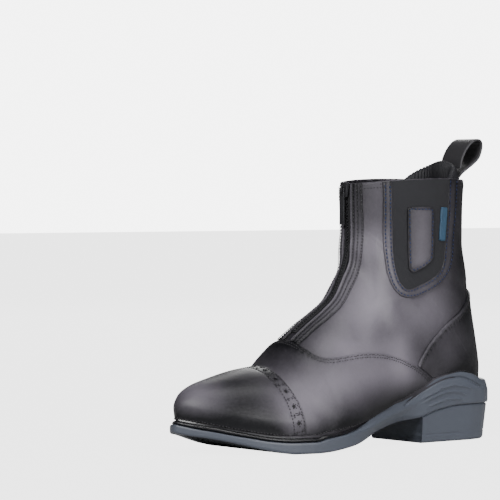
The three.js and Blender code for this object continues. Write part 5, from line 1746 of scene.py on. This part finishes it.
    def hole_shadow_dots(self) -> bpy.types.Object:
        """Lays a near-black dot in each punched hole, between the cap and the vamp: painted shade at the bottom of
        the hole.

        Returns:
            The object.
        """
        points, faces = [], []
        ring = np.linspace(0, 2 * math.pi, 12, endpoint=False)
        rows = self.row_numbers(4.0, 9.5, 1.0)
        grid = np.stack(np.meshgrid(rows, np.linspace(0, 1, 241), indexing="ij"), -1).reshape(-1, 2)
        base = self.form.form(grid[:, 0], grid[:, 1])
        normals = self.form.normal(grid[:, 0], grid[:, 1])
        for place, radius in self.hole_places:
            near = int(np.argmin(np.linalg.norm(base - place, axis=1)))
            up = normals[near]
            tuck = float(self.tucked(place[1], place[2]))
            across = np.cross(up, [0.0, 0.0, 1.0])
            across /= np.linalg.norm(across)
            along = np.cross(up, across)
            first = len(points)
            for lift in (1.66, 1.86):
                centre = place + up * lift * tuck
                points += [centre + (across * math.cos(a) + along * math.sin(a)) * (radius + 0.3) for a in ring]
            faces.append([first + k for k in range(11, -1, -1)])
            faces.append([first + 12 + k for k in range(12)])
            faces += [[first + k, first + (k + 1) % 12, first + 12 + (k + 1) % 12,
                       first + 12 + k] for k in range(12)]
        pts = np.array(points)
        # Near-black dots with a tone below zero: painted shade inside the holes.
        return make_piece("cap_hole_shadow_dots", framed(pts), faces, BLACK_THREAD,
                          smooth=Smooth.CRISP, tone=np.full(len(pts), -0.5), weld=False)

    def cap_shape(self, p: Array) -> Array:
        """Field of the toe cap with its punched holes."""
        rim, hole = signed(p[:, 1:], self.cap_area), self.holes(p)
        return np.where(hole < 2.5, np.minimum(rim, hole), rim)

    def above_ledge(self, shape: Callable[[Array], Array]) -> Callable[[Array], Array]:
        """The same field, cut off just above the welt and the cup."""
        return lambda p: np.minimum(shape(p), p[:, 2] - self.ledge(p[:, 1]) - 0.25)

    def panels(self) -> None:
        """Lays every panel."""
        self.punch()
        top = float(self.form.top_row)
        vamp, counter, cap = (self.area_field(area) for area in (self.vamp_area, self.counter_area,
                                                                 self.cap_area))
        plans = [
            Layer("vamp_leather", ("vamp",), self.above_ledge(vamp), 0.3, 1.6, (0, 19), LEATHER,
                  troughs=(1.6, 3.6),
                  stitch=(1.6, 3.6), edge=0.8, guide=vamp),
            Layer("counter_leather", ("counter",),
                  self.above_ledge(lambda p: np.minimum(counter(p), -vamp(p) - 0.3)),
                  0.3, 1.3, (12, 25.5), LEATHER, ridges=(1.4,), troughs=(3.9,), stitch=(3.9,), edge=0.8,
                  guide=counter),
            Layer("toe_cap_rear", ("toe_cap",), self.above_ledge(self.cap_shape), 1.9, 3.2, (0, 10), LEATHER,
                  step=1.4, columns=260, troughs=(1.0, 9.0), stitch=(1.0, 9.0), edge=0.45, guide=cap),
        ]
        for side, word in ((1, "outer"), (-1, "inner")):
            gore, band, patch = (self.side(area, side) for area in (self.gore_area, self.band_area,
                                                                    self.patch_area))
            half = (0.0, 0.5) if side > 0 else (0.5, 1.0)
            plans += [
                Layer(f"elastic_{word}", (f"gore_{word}",), lambda p, g=gore: g(p) + 1.2, 0.3, 0.8, (14, top),
                      ELASTIC,
                      "elastic", step=1.1, span=half, columns=200, edge=0.2, burnish=1.5, ribs=2.6),
                Layer(f"gore_band_{word}_leather", (f"gore_band_{word}",),
                      lambda p, g=gore, b=band: np.minimum(b(p), -g(p)),
                      0.3, 1.5, (14, top), LEATHER, span=half, columns=110, step=1.6, troughs=(1.5,),
                      edge=0.7, burnish=2.0),
                Layer(f"gore_patch_{word}_leather", (f"gore_patch_{word}",), patch, 1.1, 2.2, (17, top),
                      LEATHER, span=half,
                      columns=120, step=1.5, troughs=(1.6,), edge=0.6, burnish=2.0),
                Layer(f"zip_facing_{word}_leather", (f"zip_facing_{word}",), self.facing(side), 0.3, 1.6,
                      (9, top), LEATHER,
                      span=(0.25, 0.5) if side > 0 else (0.5, 0.75), columns=90, step=2.0, edge=0.9,
                      ridges=(1.0,),
                      troughs=(2.9, 5.9), stitch=(2.9, 5.9), burnish=2.5, taper=(9.0, 12.2, 0.95),
                      guide=lambda p, s=side: p[:, 0] * s - 3.3),
            ]
        tab = self.side(self.tab_area, 1)
        plans.append(Layer("side_tab_cloth", ("side_tab",), tab, 1.2, 2.4, (17, top), TAB_CLOTH, "tab",
                           span=(0.0, 0.3),
                           columns=110, step=1.3, edge=0.6, burnish=0.6))
        for plan in plans:
            self.lay(plan)
        self.hole_shadow_dots()

    def navy_rows(self) -> None:
        """Finds the lines of the navy stitches round the gores and patches."""
        rows = self.row_numbers(14, float(self.form.top_row), 2.0)
        sheet = Sheet(self.form, rows, np.linspace(0, 1, 161))
        base = sheet.base()
        for side in (1, -1):
            for area, at, lift in ((self.gore_area, -1.5, 1.5), (self.band_area, 1.5, 1.5),
                                   (self.patch_area, 1.6, 2.2)):
                values = self.side(area, side)(base)
                self.threads["navy"] += [(line, lift) for line in sheet.level_lines(values, at)]

    def collar_row(self) -> None:
        """Adds the black row that runs round the collar under its rim, clear of the zip and the gores."""
        rows = self.row_numbers(22, float(self.form.top_row), 2.0)
        sheet = Sheet(self.form, rows, np.linspace(0, 1, 161))
        base = sheet.base()
        gores = np.maximum(self.side(self.band_area, 1)(base), self.side(self.band_area, -1)(base))
        top = np.full(len(base), float(self.form.top_row))
        depth = self.form.surface(top, sheet.params[:, 1], 0.0)[:, 2] - base[:, 2]
        allowed = (gores < -0.5) & (np.abs(base[:, 0]) > 6.5)
        for line in sheet.level_lines(np.where(allowed, depth, 50.0), 4.2):
            self.threads["black"].append((line, 0.05))

    def stitches(self, name: str, lines: list[tuple[Array, float]], finish: Finish, length: float = 2.1,
                 gap: float = 0.9, thick: float = 0.42) -> bpy.types.Object:
        """Sews rows of stitches: short rounded threads lying in their troughs.

        Args:
            name: Name of the piece.
            lines: Lines on the form with the height of the leather under them.
            finish: Thread finish.
            length: Length of a stitch.
            gap: Gap between stitches.
            thick: Thickness of the thread.

        Returns:
            The object.
        """
        ring = np.linspace(0, 2 * math.pi, 6, endpoint=False)
        rings = ((0.0, 0.35, -0.25), (0.22, 0.9, 0.06), (0.5, 1.0, 0.16), (0.78, 0.9, 0.06),
                 (1.0, 0.35, -0.25))
        points, faces = [], []
        for line, lift in lines:
            p = self.form.form(line[:, 0], line[:, 1])
            run = run_along(p)
            if run[-1] < 8:
                continue
            keep = np.concatenate([[True], np.diff(run) > 1e-6])
            line, run = line[keep], run[keep]
            count = int((run[-1] - 2) / (length + gap))
            starts = 1.0 + (length + gap) * np.arange(count)
            for start in starts:
                at = start + np.array([r[0] for r in rings]) * length
                row = np.interp(at, run, line[:, 0])
                across = np.interp(at, run, line[:, 1])
                base = self.form.form(row, across)
                normal = self.form.normal(row, across)
                forward = base[-1] - base[0]
                size = np.linalg.norm(forward)
                if size < 0.3 * length:
                    continue
                forward /= size
                crease = self.creases(base)
                tuck = self.tucked(base[:, 1], base[:, 2])
                first = len(points)
                for k, (_, wide, up) in enumerate(rings):
                    centre = base[k] + normal[k] * (lift * tuck[k] - 0.12 + up + crease[k])
                    sideways = np.cross(forward, normal[k])
                    sideways /= max(np.linalg.norm(sideways), 1e-6)
                    for angle in ring:
                        points.append(centre + (math.cos(angle) * sideways + math.sin(angle) * normal[k] * 0.8)
                                      * thick * wide)
                for k in range(len(rings) - 1):
                    for j in range(6):
                        a, b = first + k * 6 + j, first + k * 6 + (j + 1) % 6
                        faces.append([a, b, b + 6, a + 6])
                faces.append([first + j for j in range(5, -1, -1)])
                faces.append([first + 24 + j for j in range(6)])
        pts = np.array(points)
        return make_piece(name, framed(pts), faces, finish, weld=False)

    def build(self) -> None:
        """Builds the whole upper."""
        self.wall()
        self.panels()
        self.navy_rows()
        self.collar_row()
        self.stitches("navy_stitches", self.threads["navy"], NAVY_THREAD)
        self.stitches("black_stitches", self.threads["black"], BLACK_THREAD, 1.7, 0.7, 0.36)


# Zip, collar pad and pull loop


@dataclass
class Zip:
    """Tape and chain of the front zip."""

    form: UpperForm
    base_share: float = 0.628
    chain_top: float = 185.0
    tape_half: float = 3.0
    pitch: float = 2.3

    def front_line(self, top: float) -> Array:
        """Row numbers down the front line from a height to the zip's base."""
        rows = np.linspace(self.form.top_row, 9.0, 900)
        p = self.form.form(rows, np.full(900, 0.5))
        keep = (p[:, 2] <= top) & (p[:, 1] <= self.base_share * self.form.sole.length)
        return rows[keep]

    def strip(self, top: float, half: float, low: float, high: float, step: float) -> tuple[Array, list]:
        """A closed strip down the front line.

        Args:
            top: Height at its upper end.
            half: Half of its width.
            low: Underside or lower corner.
            high: Top or upper corner.
            step: Distance between rows or points.

        Returns:
            Its points in metres and its faces.
        """
        rows = self.front_line(top)
        p = self.form.form(rows, np.full(len(rows), 0.5))
        run = run_along(p)
        rows = np.interp(np.linspace(0, run[-1], int(run[-1] / step) + 2), run, rows)
        middle = np.full(len(rows), 0.5)
        p = self.form.form(rows, middle)
        n = self.form.normal(rows, middle)
        profile = [(-half, low), (-half, mix(low, high, 0.7)), (-half * 0.9, high), (half * 0.9, high),
                   (half, mix(low, high, 0.7)), (half, low)]
        points = np.concatenate([p + n * lift + np.array([x, 0, 0]) for x, lift in profile])
        count = len(rows)
        faces = []
        for k in range(len(profile)):
            a, b = k * count, ((k + 1) % len(profile)) * count
            faces += [[a + j, a + j + 1, b + j + 1, b + j] for j in range(count - 1)]
        faces.append([k * count for k in range(len(profile))])
        faces.append([k * count + count - 1 for k in range(len(profile) - 1, -1, -1)])
        return framed(points), faces

    def tape(self) -> bpy.types.Object:
        """The woven tape under the chain."""
        points, faces = self.strip(196.5, self.tape_half, 0.3, 0.8, 2.0)
        return make_piece("tape", points, faces, TAPE, ["zip_tape"], smooth=Smooth.CRISP)

    def teeth(self) -> bpy.types.Object:
        """The closed chain: rounded teeth that interlock from both sides.

        Returns:
            The object.
        """
        rows = self.front_line(self.chain_top)
        p = self.form.form(rows, np.full(len(rows), 0.5))
        run = run_along(p)
        points, faces = [], []
        block = [(-0.36, 0.0), (-0.26, 0.9), (0.26, 0.9), (0.36, 0.0)]
        for k, at in enumerate(np.arange(0.8, run[-1] - 0.8, self.pitch / 2)):
            row = np.array([np.interp(at, run, rows)])
            middle = np.array([0.5])
            centre = self.form.form(row, middle)[0]
            normal = self.form.normal(row, middle)[0]
            down = np.cross([1.0, 0, 0], normal)
            side = 1 if k % 2 else -1
            first = len(points)
            for reach, wide, up in ((-0.35, 0.75, 0.85), (0.35, 1.0, 1.0), (1.2, 1.0, 1.0), (1.6, 0.7, 0.7)):
                for along, lift in block:
                    points.append(centre + np.array([side * reach, 0,
                                                     0]) + down * along * self.pitch * 0.62 * wide
                                  + normal * (0.85 + lift * 1.45 * up))
            for r in range(3):
                for j in range(4):
                    a, b = first + r * 4 + j, first + r * 4 + (j + 1) % 4
                    faces.append([a, b, b + 4, a + 4] if side > 0 else [a + 4, b + 4, b, a])
            faces.append([first + j for j in (3, 2, 1, 0)] if side > 0 else [first + j for j in (0, 1, 2, 3)])
            faces.append([first + 12 + j for j in (0, 1, 2, 3)] if side > 0 else [first + 12 + j for j in (3,
                                                                                                           2, 1, 0)])
        pts = np.array(points)
        return make_piece("zip_teeth", framed(pts), faces, METAL, ["zip_chain"],
                          smooth=Smooth.CRISP, weld=False)

    def build(self) -> None:
        """Builds the zip."""
        self.tape()
        self.teeth()


@dataclass
class ZipHardware:
    """The slider, parked at the top, and the pull tab that hangs from its bridge."""

    hinge_length: float = 137.4
    hinge_height: float = 193.0
    body_back: float = 133.5
    body_front: float = 136.0
    body_top: float = 198.0
    body_bottom: float = 187.0
    body_half: float = 4.0
    tab_half: float = 2.6
    tab_length: float = 27.0
    tab_thickness: float = 1.0
    slot_half: float = 1.4
    slot_length: float = 5.0

    @staticmethod
    def block(low: Sequence[float], high: Sequence[float]) -> bpy.types.Object:
        """Adds a block between two corners, given as sideways place, length and height.

        Args:
            low: Underside or lower corner.
            high: Top or upper corner.

        Returns:
            The block.
        """
        bpy.ops.object.select_all(action="DESELECT")
        a, b = to_frame(low[0], low[1], low[2]), to_frame(high[0], high[1], high[2])
        bpy.ops.mesh.primitive_cube_add(size=1, location=tuple(float(v) for v in (a + b) / 2))
        bpy.ops.object.mode_set(mode="EDIT")
        bpy.ops.transform.resize(value=tuple(float(v) for v in np.abs(b - a)))
        bpy.ops.object.mode_set(mode="OBJECT")
        bpy.ops.object.transform_apply(location=True, rotation=True, scale=True)
        return bpy.context.object

    @staticmethod
    def soften(piece: bpy.types.Object, width: float, steps: int = 3) -> None:
        """Rounds the edges of a piece with an applied bevel."""
        bpy.context.view_layer.objects.active = piece
        bevel = piece.modifiers.new("soft_edges", "BEVEL")
        bevel.width, bevel.segments, bevel.limit_method = width / 1000, steps, "ANGLE"
        bpy.ops.object.modifier_apply(modifier=bevel.name)

    @staticmethod
    def cut(piece: bpy.types.Object, cutter: bpy.types.Object) -> None:
        """Cuts a block out of a piece and removes the block."""
        bpy.context.view_layer.objects.active = piece
        cutting = piece.modifiers.new("cut", "BOOLEAN")
        cutting.operation, cutting.object, cutting.solver = "DIFFERENCE", cutter, "EXACT"
        bpy.ops.object.modifier_apply(modifier=cutting.name)
        bpy.data.objects.remove(cutter, do_unlink=True)

    @staticmethod
    def join(pieces: Sequence[bpy.types.Object], name: str) -> bpy.types.Object:
        """Joins pieces into one with a new name, shaded smooth between its edges.

        Args:
            pieces: The pieces, the main one first.
            name: Name given to it.

        Returns:
            The joined piece.
        """
        bpy.ops.object.select_all(action="DESELECT")
        for piece in pieces:
            piece.select_set(True)
        bpy.context.view_layer.objects.active = pieces[0]
        if len(pieces) > 1:
            bpy.ops.object.join()
        joined = bpy.context.object
        joined.name = joined.data.name = name
        bpy.ops.object.shade_smooth_by_angle(angle=math.radians(40))
        layer = joined.data.attributes.new("tone", "FLOAT", "POINT")
        layer.data.foreach_set("value", np.full(len(joined.data.vertices), 0.45))
        joined.select_set(False)
        return joined

    def ring(self) -> bpy.types.Object:
        """The bridge of the slider, an arched eye round the hinge.

        Returns:
            The eye.
        """
        bpy.ops.object.select_all(action="DESELECT")
        place = tuple(float(v) for v in to_frame(0, self.hinge_length - 0.2, self.hinge_height))
        bpy.ops.mesh.primitive_torus_add(major_segments=32, minor_segments=12, major_radius=0.0017,
                                         minor_radius=0.0005, location=place, rotation=(0, math.pi / 2, 0))
        bpy.ops.object.transform_apply(location=True, rotation=True, scale=True)
        bpy.ops.object.mode_set(mode="EDIT")
        bpy.ops.transform.resize(value=(1.7, 1.0, 1.25), center_override=place)
        bpy.ops.object.mode_set(mode="OBJECT")
        return bpy.context.object

    def slider(self) -> bpy.types.Object:
        """The wedge-shaped slider with its bridge.

        Returns:
            The object.
        """
        body = self.block((-self.body_half, self.body_back, self.body_bottom),
                          (self.body_half, self.body_front, self.body_top))
        for point in body.data.vertices:
            if point.co.z < (self.body_bottom + 1) / 1000:
                point.co.x *= 0.65
        for side in (-1, 1):
            mouth = self.block((side * 2.4 - 1.0, self.body_back + 0.8, self.body_top - 4.0),
                               (side * 2.4 + 1.0, self.body_front - 0.8, self.body_top + 1.0))
            self.cut(body, mouth)
        self.soften(body, 0.45)
        stem = self.block((-1.5, self.body_back - 0.6, self.body_bottom + 1),
                          (1.5, self.body_back + 0.5, self.body_top - 2))
        self.soften(stem, 0.25, 2)
        return dress(self.join([body, self.ring(), stem], "slider_with_bridge"), METAL, ["zip_slider"],
                     "boot")

    def tab(self) -> bpy.types.Object:
        """The slim pull tab with its slot and pin.

        Returns:
            The object.
        """
        near = self.hinge_length - self.tab_thickness / 2
        foot = self.hinge_height - self.tab_length
        plate = self.block((-self.tab_half, near, foot),
                           (self.tab_half, near + self.tab_thickness, self.hinge_height + 0.9))
        for point in plate.data.vertices:
            if point.co.z > (foot + 5) / 1000:
                point.co.x *= 0.92
        self.cut(plate, self.block((-self.slot_half, near - 1, self.hinge_height - self.slot_length),
                                   (self.slot_half, near + 2, self.hinge_height + 2)))
        self.cut(plate, self.block((-self.tab_half + 0.9, near + self.tab_thickness - 0.25, foot + 2.0),
                                   (self.tab_half - 0.9, near + 2,
                                    self.hinge_height - self.slot_length - 2.0)))
        self.soften(plate, 0.22, 2)
        bpy.ops.object.select_all(action="DESELECT")
        place = tuple(float(v) for v in to_frame(0, self.hinge_length, self.hinge_height))
        bpy.ops.mesh.primitive_cylinder_add(vertices=20, radius=0.0005, depth=0.0042, location=place,
                                            rotation=(0, math.pi / 2, 0))
        bpy.ops.object.transform_apply(location=True, rotation=True, scale=True)
        pin = bpy.context.object
        self.soften(pin, 0.1, 2)
        return dress(self.join([plate, pin], "pull_tab_plate"), METAL, ["zip_pull_tab"],
                     "pull_tab")

    def build(self) -> None:
        """Builds slider and tab."""
        self.slider()
        self.tab()


@dataclass
class CollarPad:
    """Pleated comfort pad round the back of the collar."""

    sweep: float = 62.0
    rise: float = 16.0
    drop: float = 13.0
    thickness: float = 9.0
    collar_height: float = 199.0
    middle: float = 76.4
    half: float = 55.1
    half_width: float = 34.7
    strap_room: float = 7.4
    pleats: int = 30

    def build(self) -> bpy.types.Object:
        """Returns:
            The object.
        """
        count, ring = 300, 36
        points, tone = [], []
        angles = np.linspace(0, 2 * math.pi, ring, endpoint=False)
        for k in range(count):
            t = mix(-1, 1, k / (count - 1))
            angle = math.radians(self.sweep) * t
            swell = math.sqrt(max(0.0, 1 - t * t))
            top = self.collar_height + self.rise * swell**1.4
            low = self.collar_height - self.drop * swell
            thick = self.thickness / 2 * (0.35 + 0.65 * swell)
            pleat = 0.5 + 0.5 * math.cos(t * math.pi * self.pleats)
            fold = 1 - pleat**3
            inwards = 3.2 + self.strap_room * (1 - float(smoothstep(0.1, 0.75, abs(math.sin(angle))))) + thick
            direction = np.array([math.sin(angle), -math.cos(angle)])
            place = np.array([0.0, self.middle])
            reach = np.array([(self.half_width - inwards) * direction[0],
                              (self.half - inwards) * direction[1]])
            for a in angles:
                ca, sa = math.cos(a), math.sin(a)
                outwards = np.sign(ca) * abs(ca) ** 0.85 * thick * (0.80 + 0.20 * fold)
                upwards = np.sign(sa) * abs(sa) ** 0.8 * (top - low) / 2 * (0.93 + 0.07 * fold)
                side = place + reach + direction * outwards
                points.append((side[0], side[1], (top + low) / 2 + upwards))
                # Painted light on the pleats: lighter on each puff and painted shade in the creases between them.
                tone.append(0.05 + 0.6 * fold * fold)
        piece = make_piece("collar_roll", framed(np.array(points)), tube_faces(count, ring), PAD_LEATHER,
                           ["collar_pad"], tone=np.array(tone))
        return piece


@dataclass
class PullLoop:
    """The leather pull loop sewn into the back of the collar."""

    width: float = 24.0
    thickness: float = 1.8
    collar: float = 199.0
    length: float = 292.3
    LINE = (
        (0.0900, 0.420), (0.0868, 0.640), (0.0794, 0.850), (0.0677, 1.062), (0.0496, 1.262), (0.0308, 1.342),
        (0.0168, 1.283), (0.0147, 1.083), (0.0246, 0.783), (0.0441, 0.583), (0.0680, 0.405), (0.0880, 0.240),
        (0.1000, 0.062), (0.1026, -0.125), (0.1030, -0.375),
    )

    def build(self) -> bpy.types.Object:
        """Builds the strap with its pressed borders.

        Returns:
            The object.
        """
        line = spline([(a * self.length, self.collar + self.width * b) for a, b in self.LINE], 0.9)
        tangent = np.gradient(line, axis=0)
        tangent /= np.linalg.norm(tangent, axis=1)[:, None]
        out = np.stack([-tangent[:, 1], tangent[:, 0]], -1)
        half, t = self.width / 2, self.thickness / 2
        profile = []
        for w in np.linspace(-1, 1, 33):
            x = w * half
            border = bell(np.array(abs(x) - (half - 2.2)), 0.7)
            edge = math.sqrt(max(0.0, 1 - max(0.0, (abs(x) - (half - 0.8)) / 0.8) ** 2))
            profile.append((x, t * edge - 0.25 * float(border)))
        loop = profile + [(x, -v) for x, v in profile[::-1]]
        n, m = len(line), len(loop)
        points = np.array([[x, line[k, 0] + out[k, 0] * v,
                            line[k, 1] + out[k, 1] * v] for k in range(n) for x, v in loop])
        # The strap's borders are lighter: partly the lighter raw edge of the leather, partly a painted highlight
        # along its edges.
        shade = np.tile([0.45 + 0.35 * (abs(x) > half - 1.2) for x, _ in loop], n)
        return make_piece("pull_strap", framed(points), tube_faces(n, m), STRAP, ["pull_loop"],
                          tone=shade)


# Camera, light and floor


@dataclass
class Studio:
    """Plain floor, soft light and the photo's camera."""

    azimuth: float = 49.8
    pitch: float = 1.2
    yaw: float = -1.9
    focal: float = 2859.1
    width: float = 500.0
    sensor: float = 36.0
    floor_half: float = 9.0
    air_light: float = 0.07
    paper_white: float = 6.0
    paper_share: float = 0.55
    aim: tuple[float, float, float] = (0, -0.1, 0.08)
    place: tuple[float, float, float] = (1.6511, -1.4848, 0.1921)

    def camera(self) -> None:
        """Sets the camera as in the photo."""
        az, yaw, pitch = (math.radians(v) for v in (self.azimuth, self.yaw, self.pitch))
        ahead = Vector((-math.sin(az), math.cos(az), 0))
        right = ahead.cross(Vector((0, 0, 1)))
        flat = ahead * math.cos(yaw) + right * math.sin(yaw)
        right = flat.cross(Vector((0, 0, 1)))
        look = flat * math.cos(pitch) - Vector((0, 0, 1)) * math.sin(pitch)
        up = right.cross(look)
        data = bpy.data.cameras.new("photo_camera")
        data.sensor_width = self.sensor
        data.lens = self.focal / self.width * self.sensor
        data.clip_end = 50
        camera = bpy.data.objects.new("photo_camera", data)
        turn = Matrix((right, up, -look)).transposed().to_4x4()
        camera.matrix_world = Matrix.Translation(self.place) @ turn
        bpy.context.scene.collection.objects.link(camera)
        bpy.context.scene.camera = camera

    def lamp(self, name: str, place: tuple, size: float, power: float) -> None:
        """Adds a square soft light.

        Args:
            name: Name given to it.
            place: Where it stands.
            size: Side of its square.
            power: Its power in watts.
        """
        data = bpy.data.lights.new(name, "AREA")
        data.size, data.energy = size, power
        lamp = bpy.data.objects.new(name, data)
        lamp.location = place
        lamp.rotation_euler = (Vector(self.aim) - Vector(place)).to_track_quat("-Z", "Y").to_euler()
        bpy.context.scene.collection.objects.link(lamp)

    def floor(self) -> None:
        """Lays the plain floor, seen nearly white by the camera."""
        mesh = bpy.data.meshes.new("studio_floor")
        h = self.floor_half
        mesh.from_pydata([(-h, -h, 0), (h, -h, 0), (h, h, 0), (-h, h, 0)], [], [(0, 1, 2, 3)])
        floor = bpy.data.objects.new("studio_floor", mesh)
        bpy.context.scene.collection.objects.link(floor)
        paper = bpy.data.materials.new("floor_paper")
        paper.use_nodes = True
        n = Nodes(paper.node_tree)
        spot = n.add("ShaderNodeTexCoord").outputs["Object"]
        shader = paper.node_tree.nodes["Principled BSDF"]
        color = n.blend(n.noise(spot, 3.0), (0.5, 0.5, 0.5, 1), (0.54, 0.54, 0.54, 1))
        paper.node_tree.links.new(color, shader.inputs["Base Color"])
        shader.inputs["Roughness"].default_value = 0.9
        glow = n.add("ShaderNodeEmission", None, Color=(1, 1, 1, 1), Strength=self.paper_white)
        seen = n.math("MULTIPLY", n.add("ShaderNodeLightPath").outputs["Is Camera Ray"], self.paper_share)
        both = n.add("ShaderNodeMixShader", None, i0=seen, i1=shader.outputs[0], i2=glow.outputs[0])
        paper.node_tree.links.new(both.outputs[0], paper.node_tree.nodes["Material Output"].inputs["Surface"])
        mesh.materials.append(paper)

    def air(self) -> None:
        """Sets dim surroundings behind a white background."""
        world = bpy.data.worlds.new("studio_air")
        world.use_nodes = True
        air = Nodes(world.node_tree)
        soft = world.node_tree.nodes["Background"]
        soft.inputs["Color"].default_value = (1, 1, 1, 1)
        soft.inputs["Strength"].default_value = self.air_light
        white = air.add("ShaderNodeBackground", None, Color=(1, 1, 1, 1), Strength=self.paper_white)
        seen = air.add("ShaderNodeLightPath").outputs["Is Camera Ray"]
        both = air.add("ShaderNodeMixShader", None, i0=seen, i1=soft.outputs[0], i2=white.outputs[0])
        world.node_tree.links.new(both.outputs[0], world.node_tree.nodes["World Output"].inputs["Surface"])
        bpy.context.scene.world = world

    def build(self) -> None:
        """Builds camera, floor, surroundings and lights."""
        self.camera()
        self.floor()
        self.air()
        self.lamp("key_left", (0.9, -2.3, 1.4), 0.8, 46)
        self.lamp("side_soft", (2.3, -0.2, 0.7), 0.8, 28)
        self.lamp("top_soft", (0.7, 0.0, 2.3), 1.0, 17)
        self.lamp("back_soft", (-1.6, 1.6, 1.3), 1.2, 26)


def main() -> None:
    """Builds the boot piece by piece."""
    Studio().build()
    sole = SoleForm()
    form = UpperForm(sole)
    SoleUnit(sole).build()
    Upper(sole, form).build()
    Zip(form).build()
    ZipHardware().build()
    CollarPad().build()
    PullLoop().build()


if __name__ == "__main__":
    main()
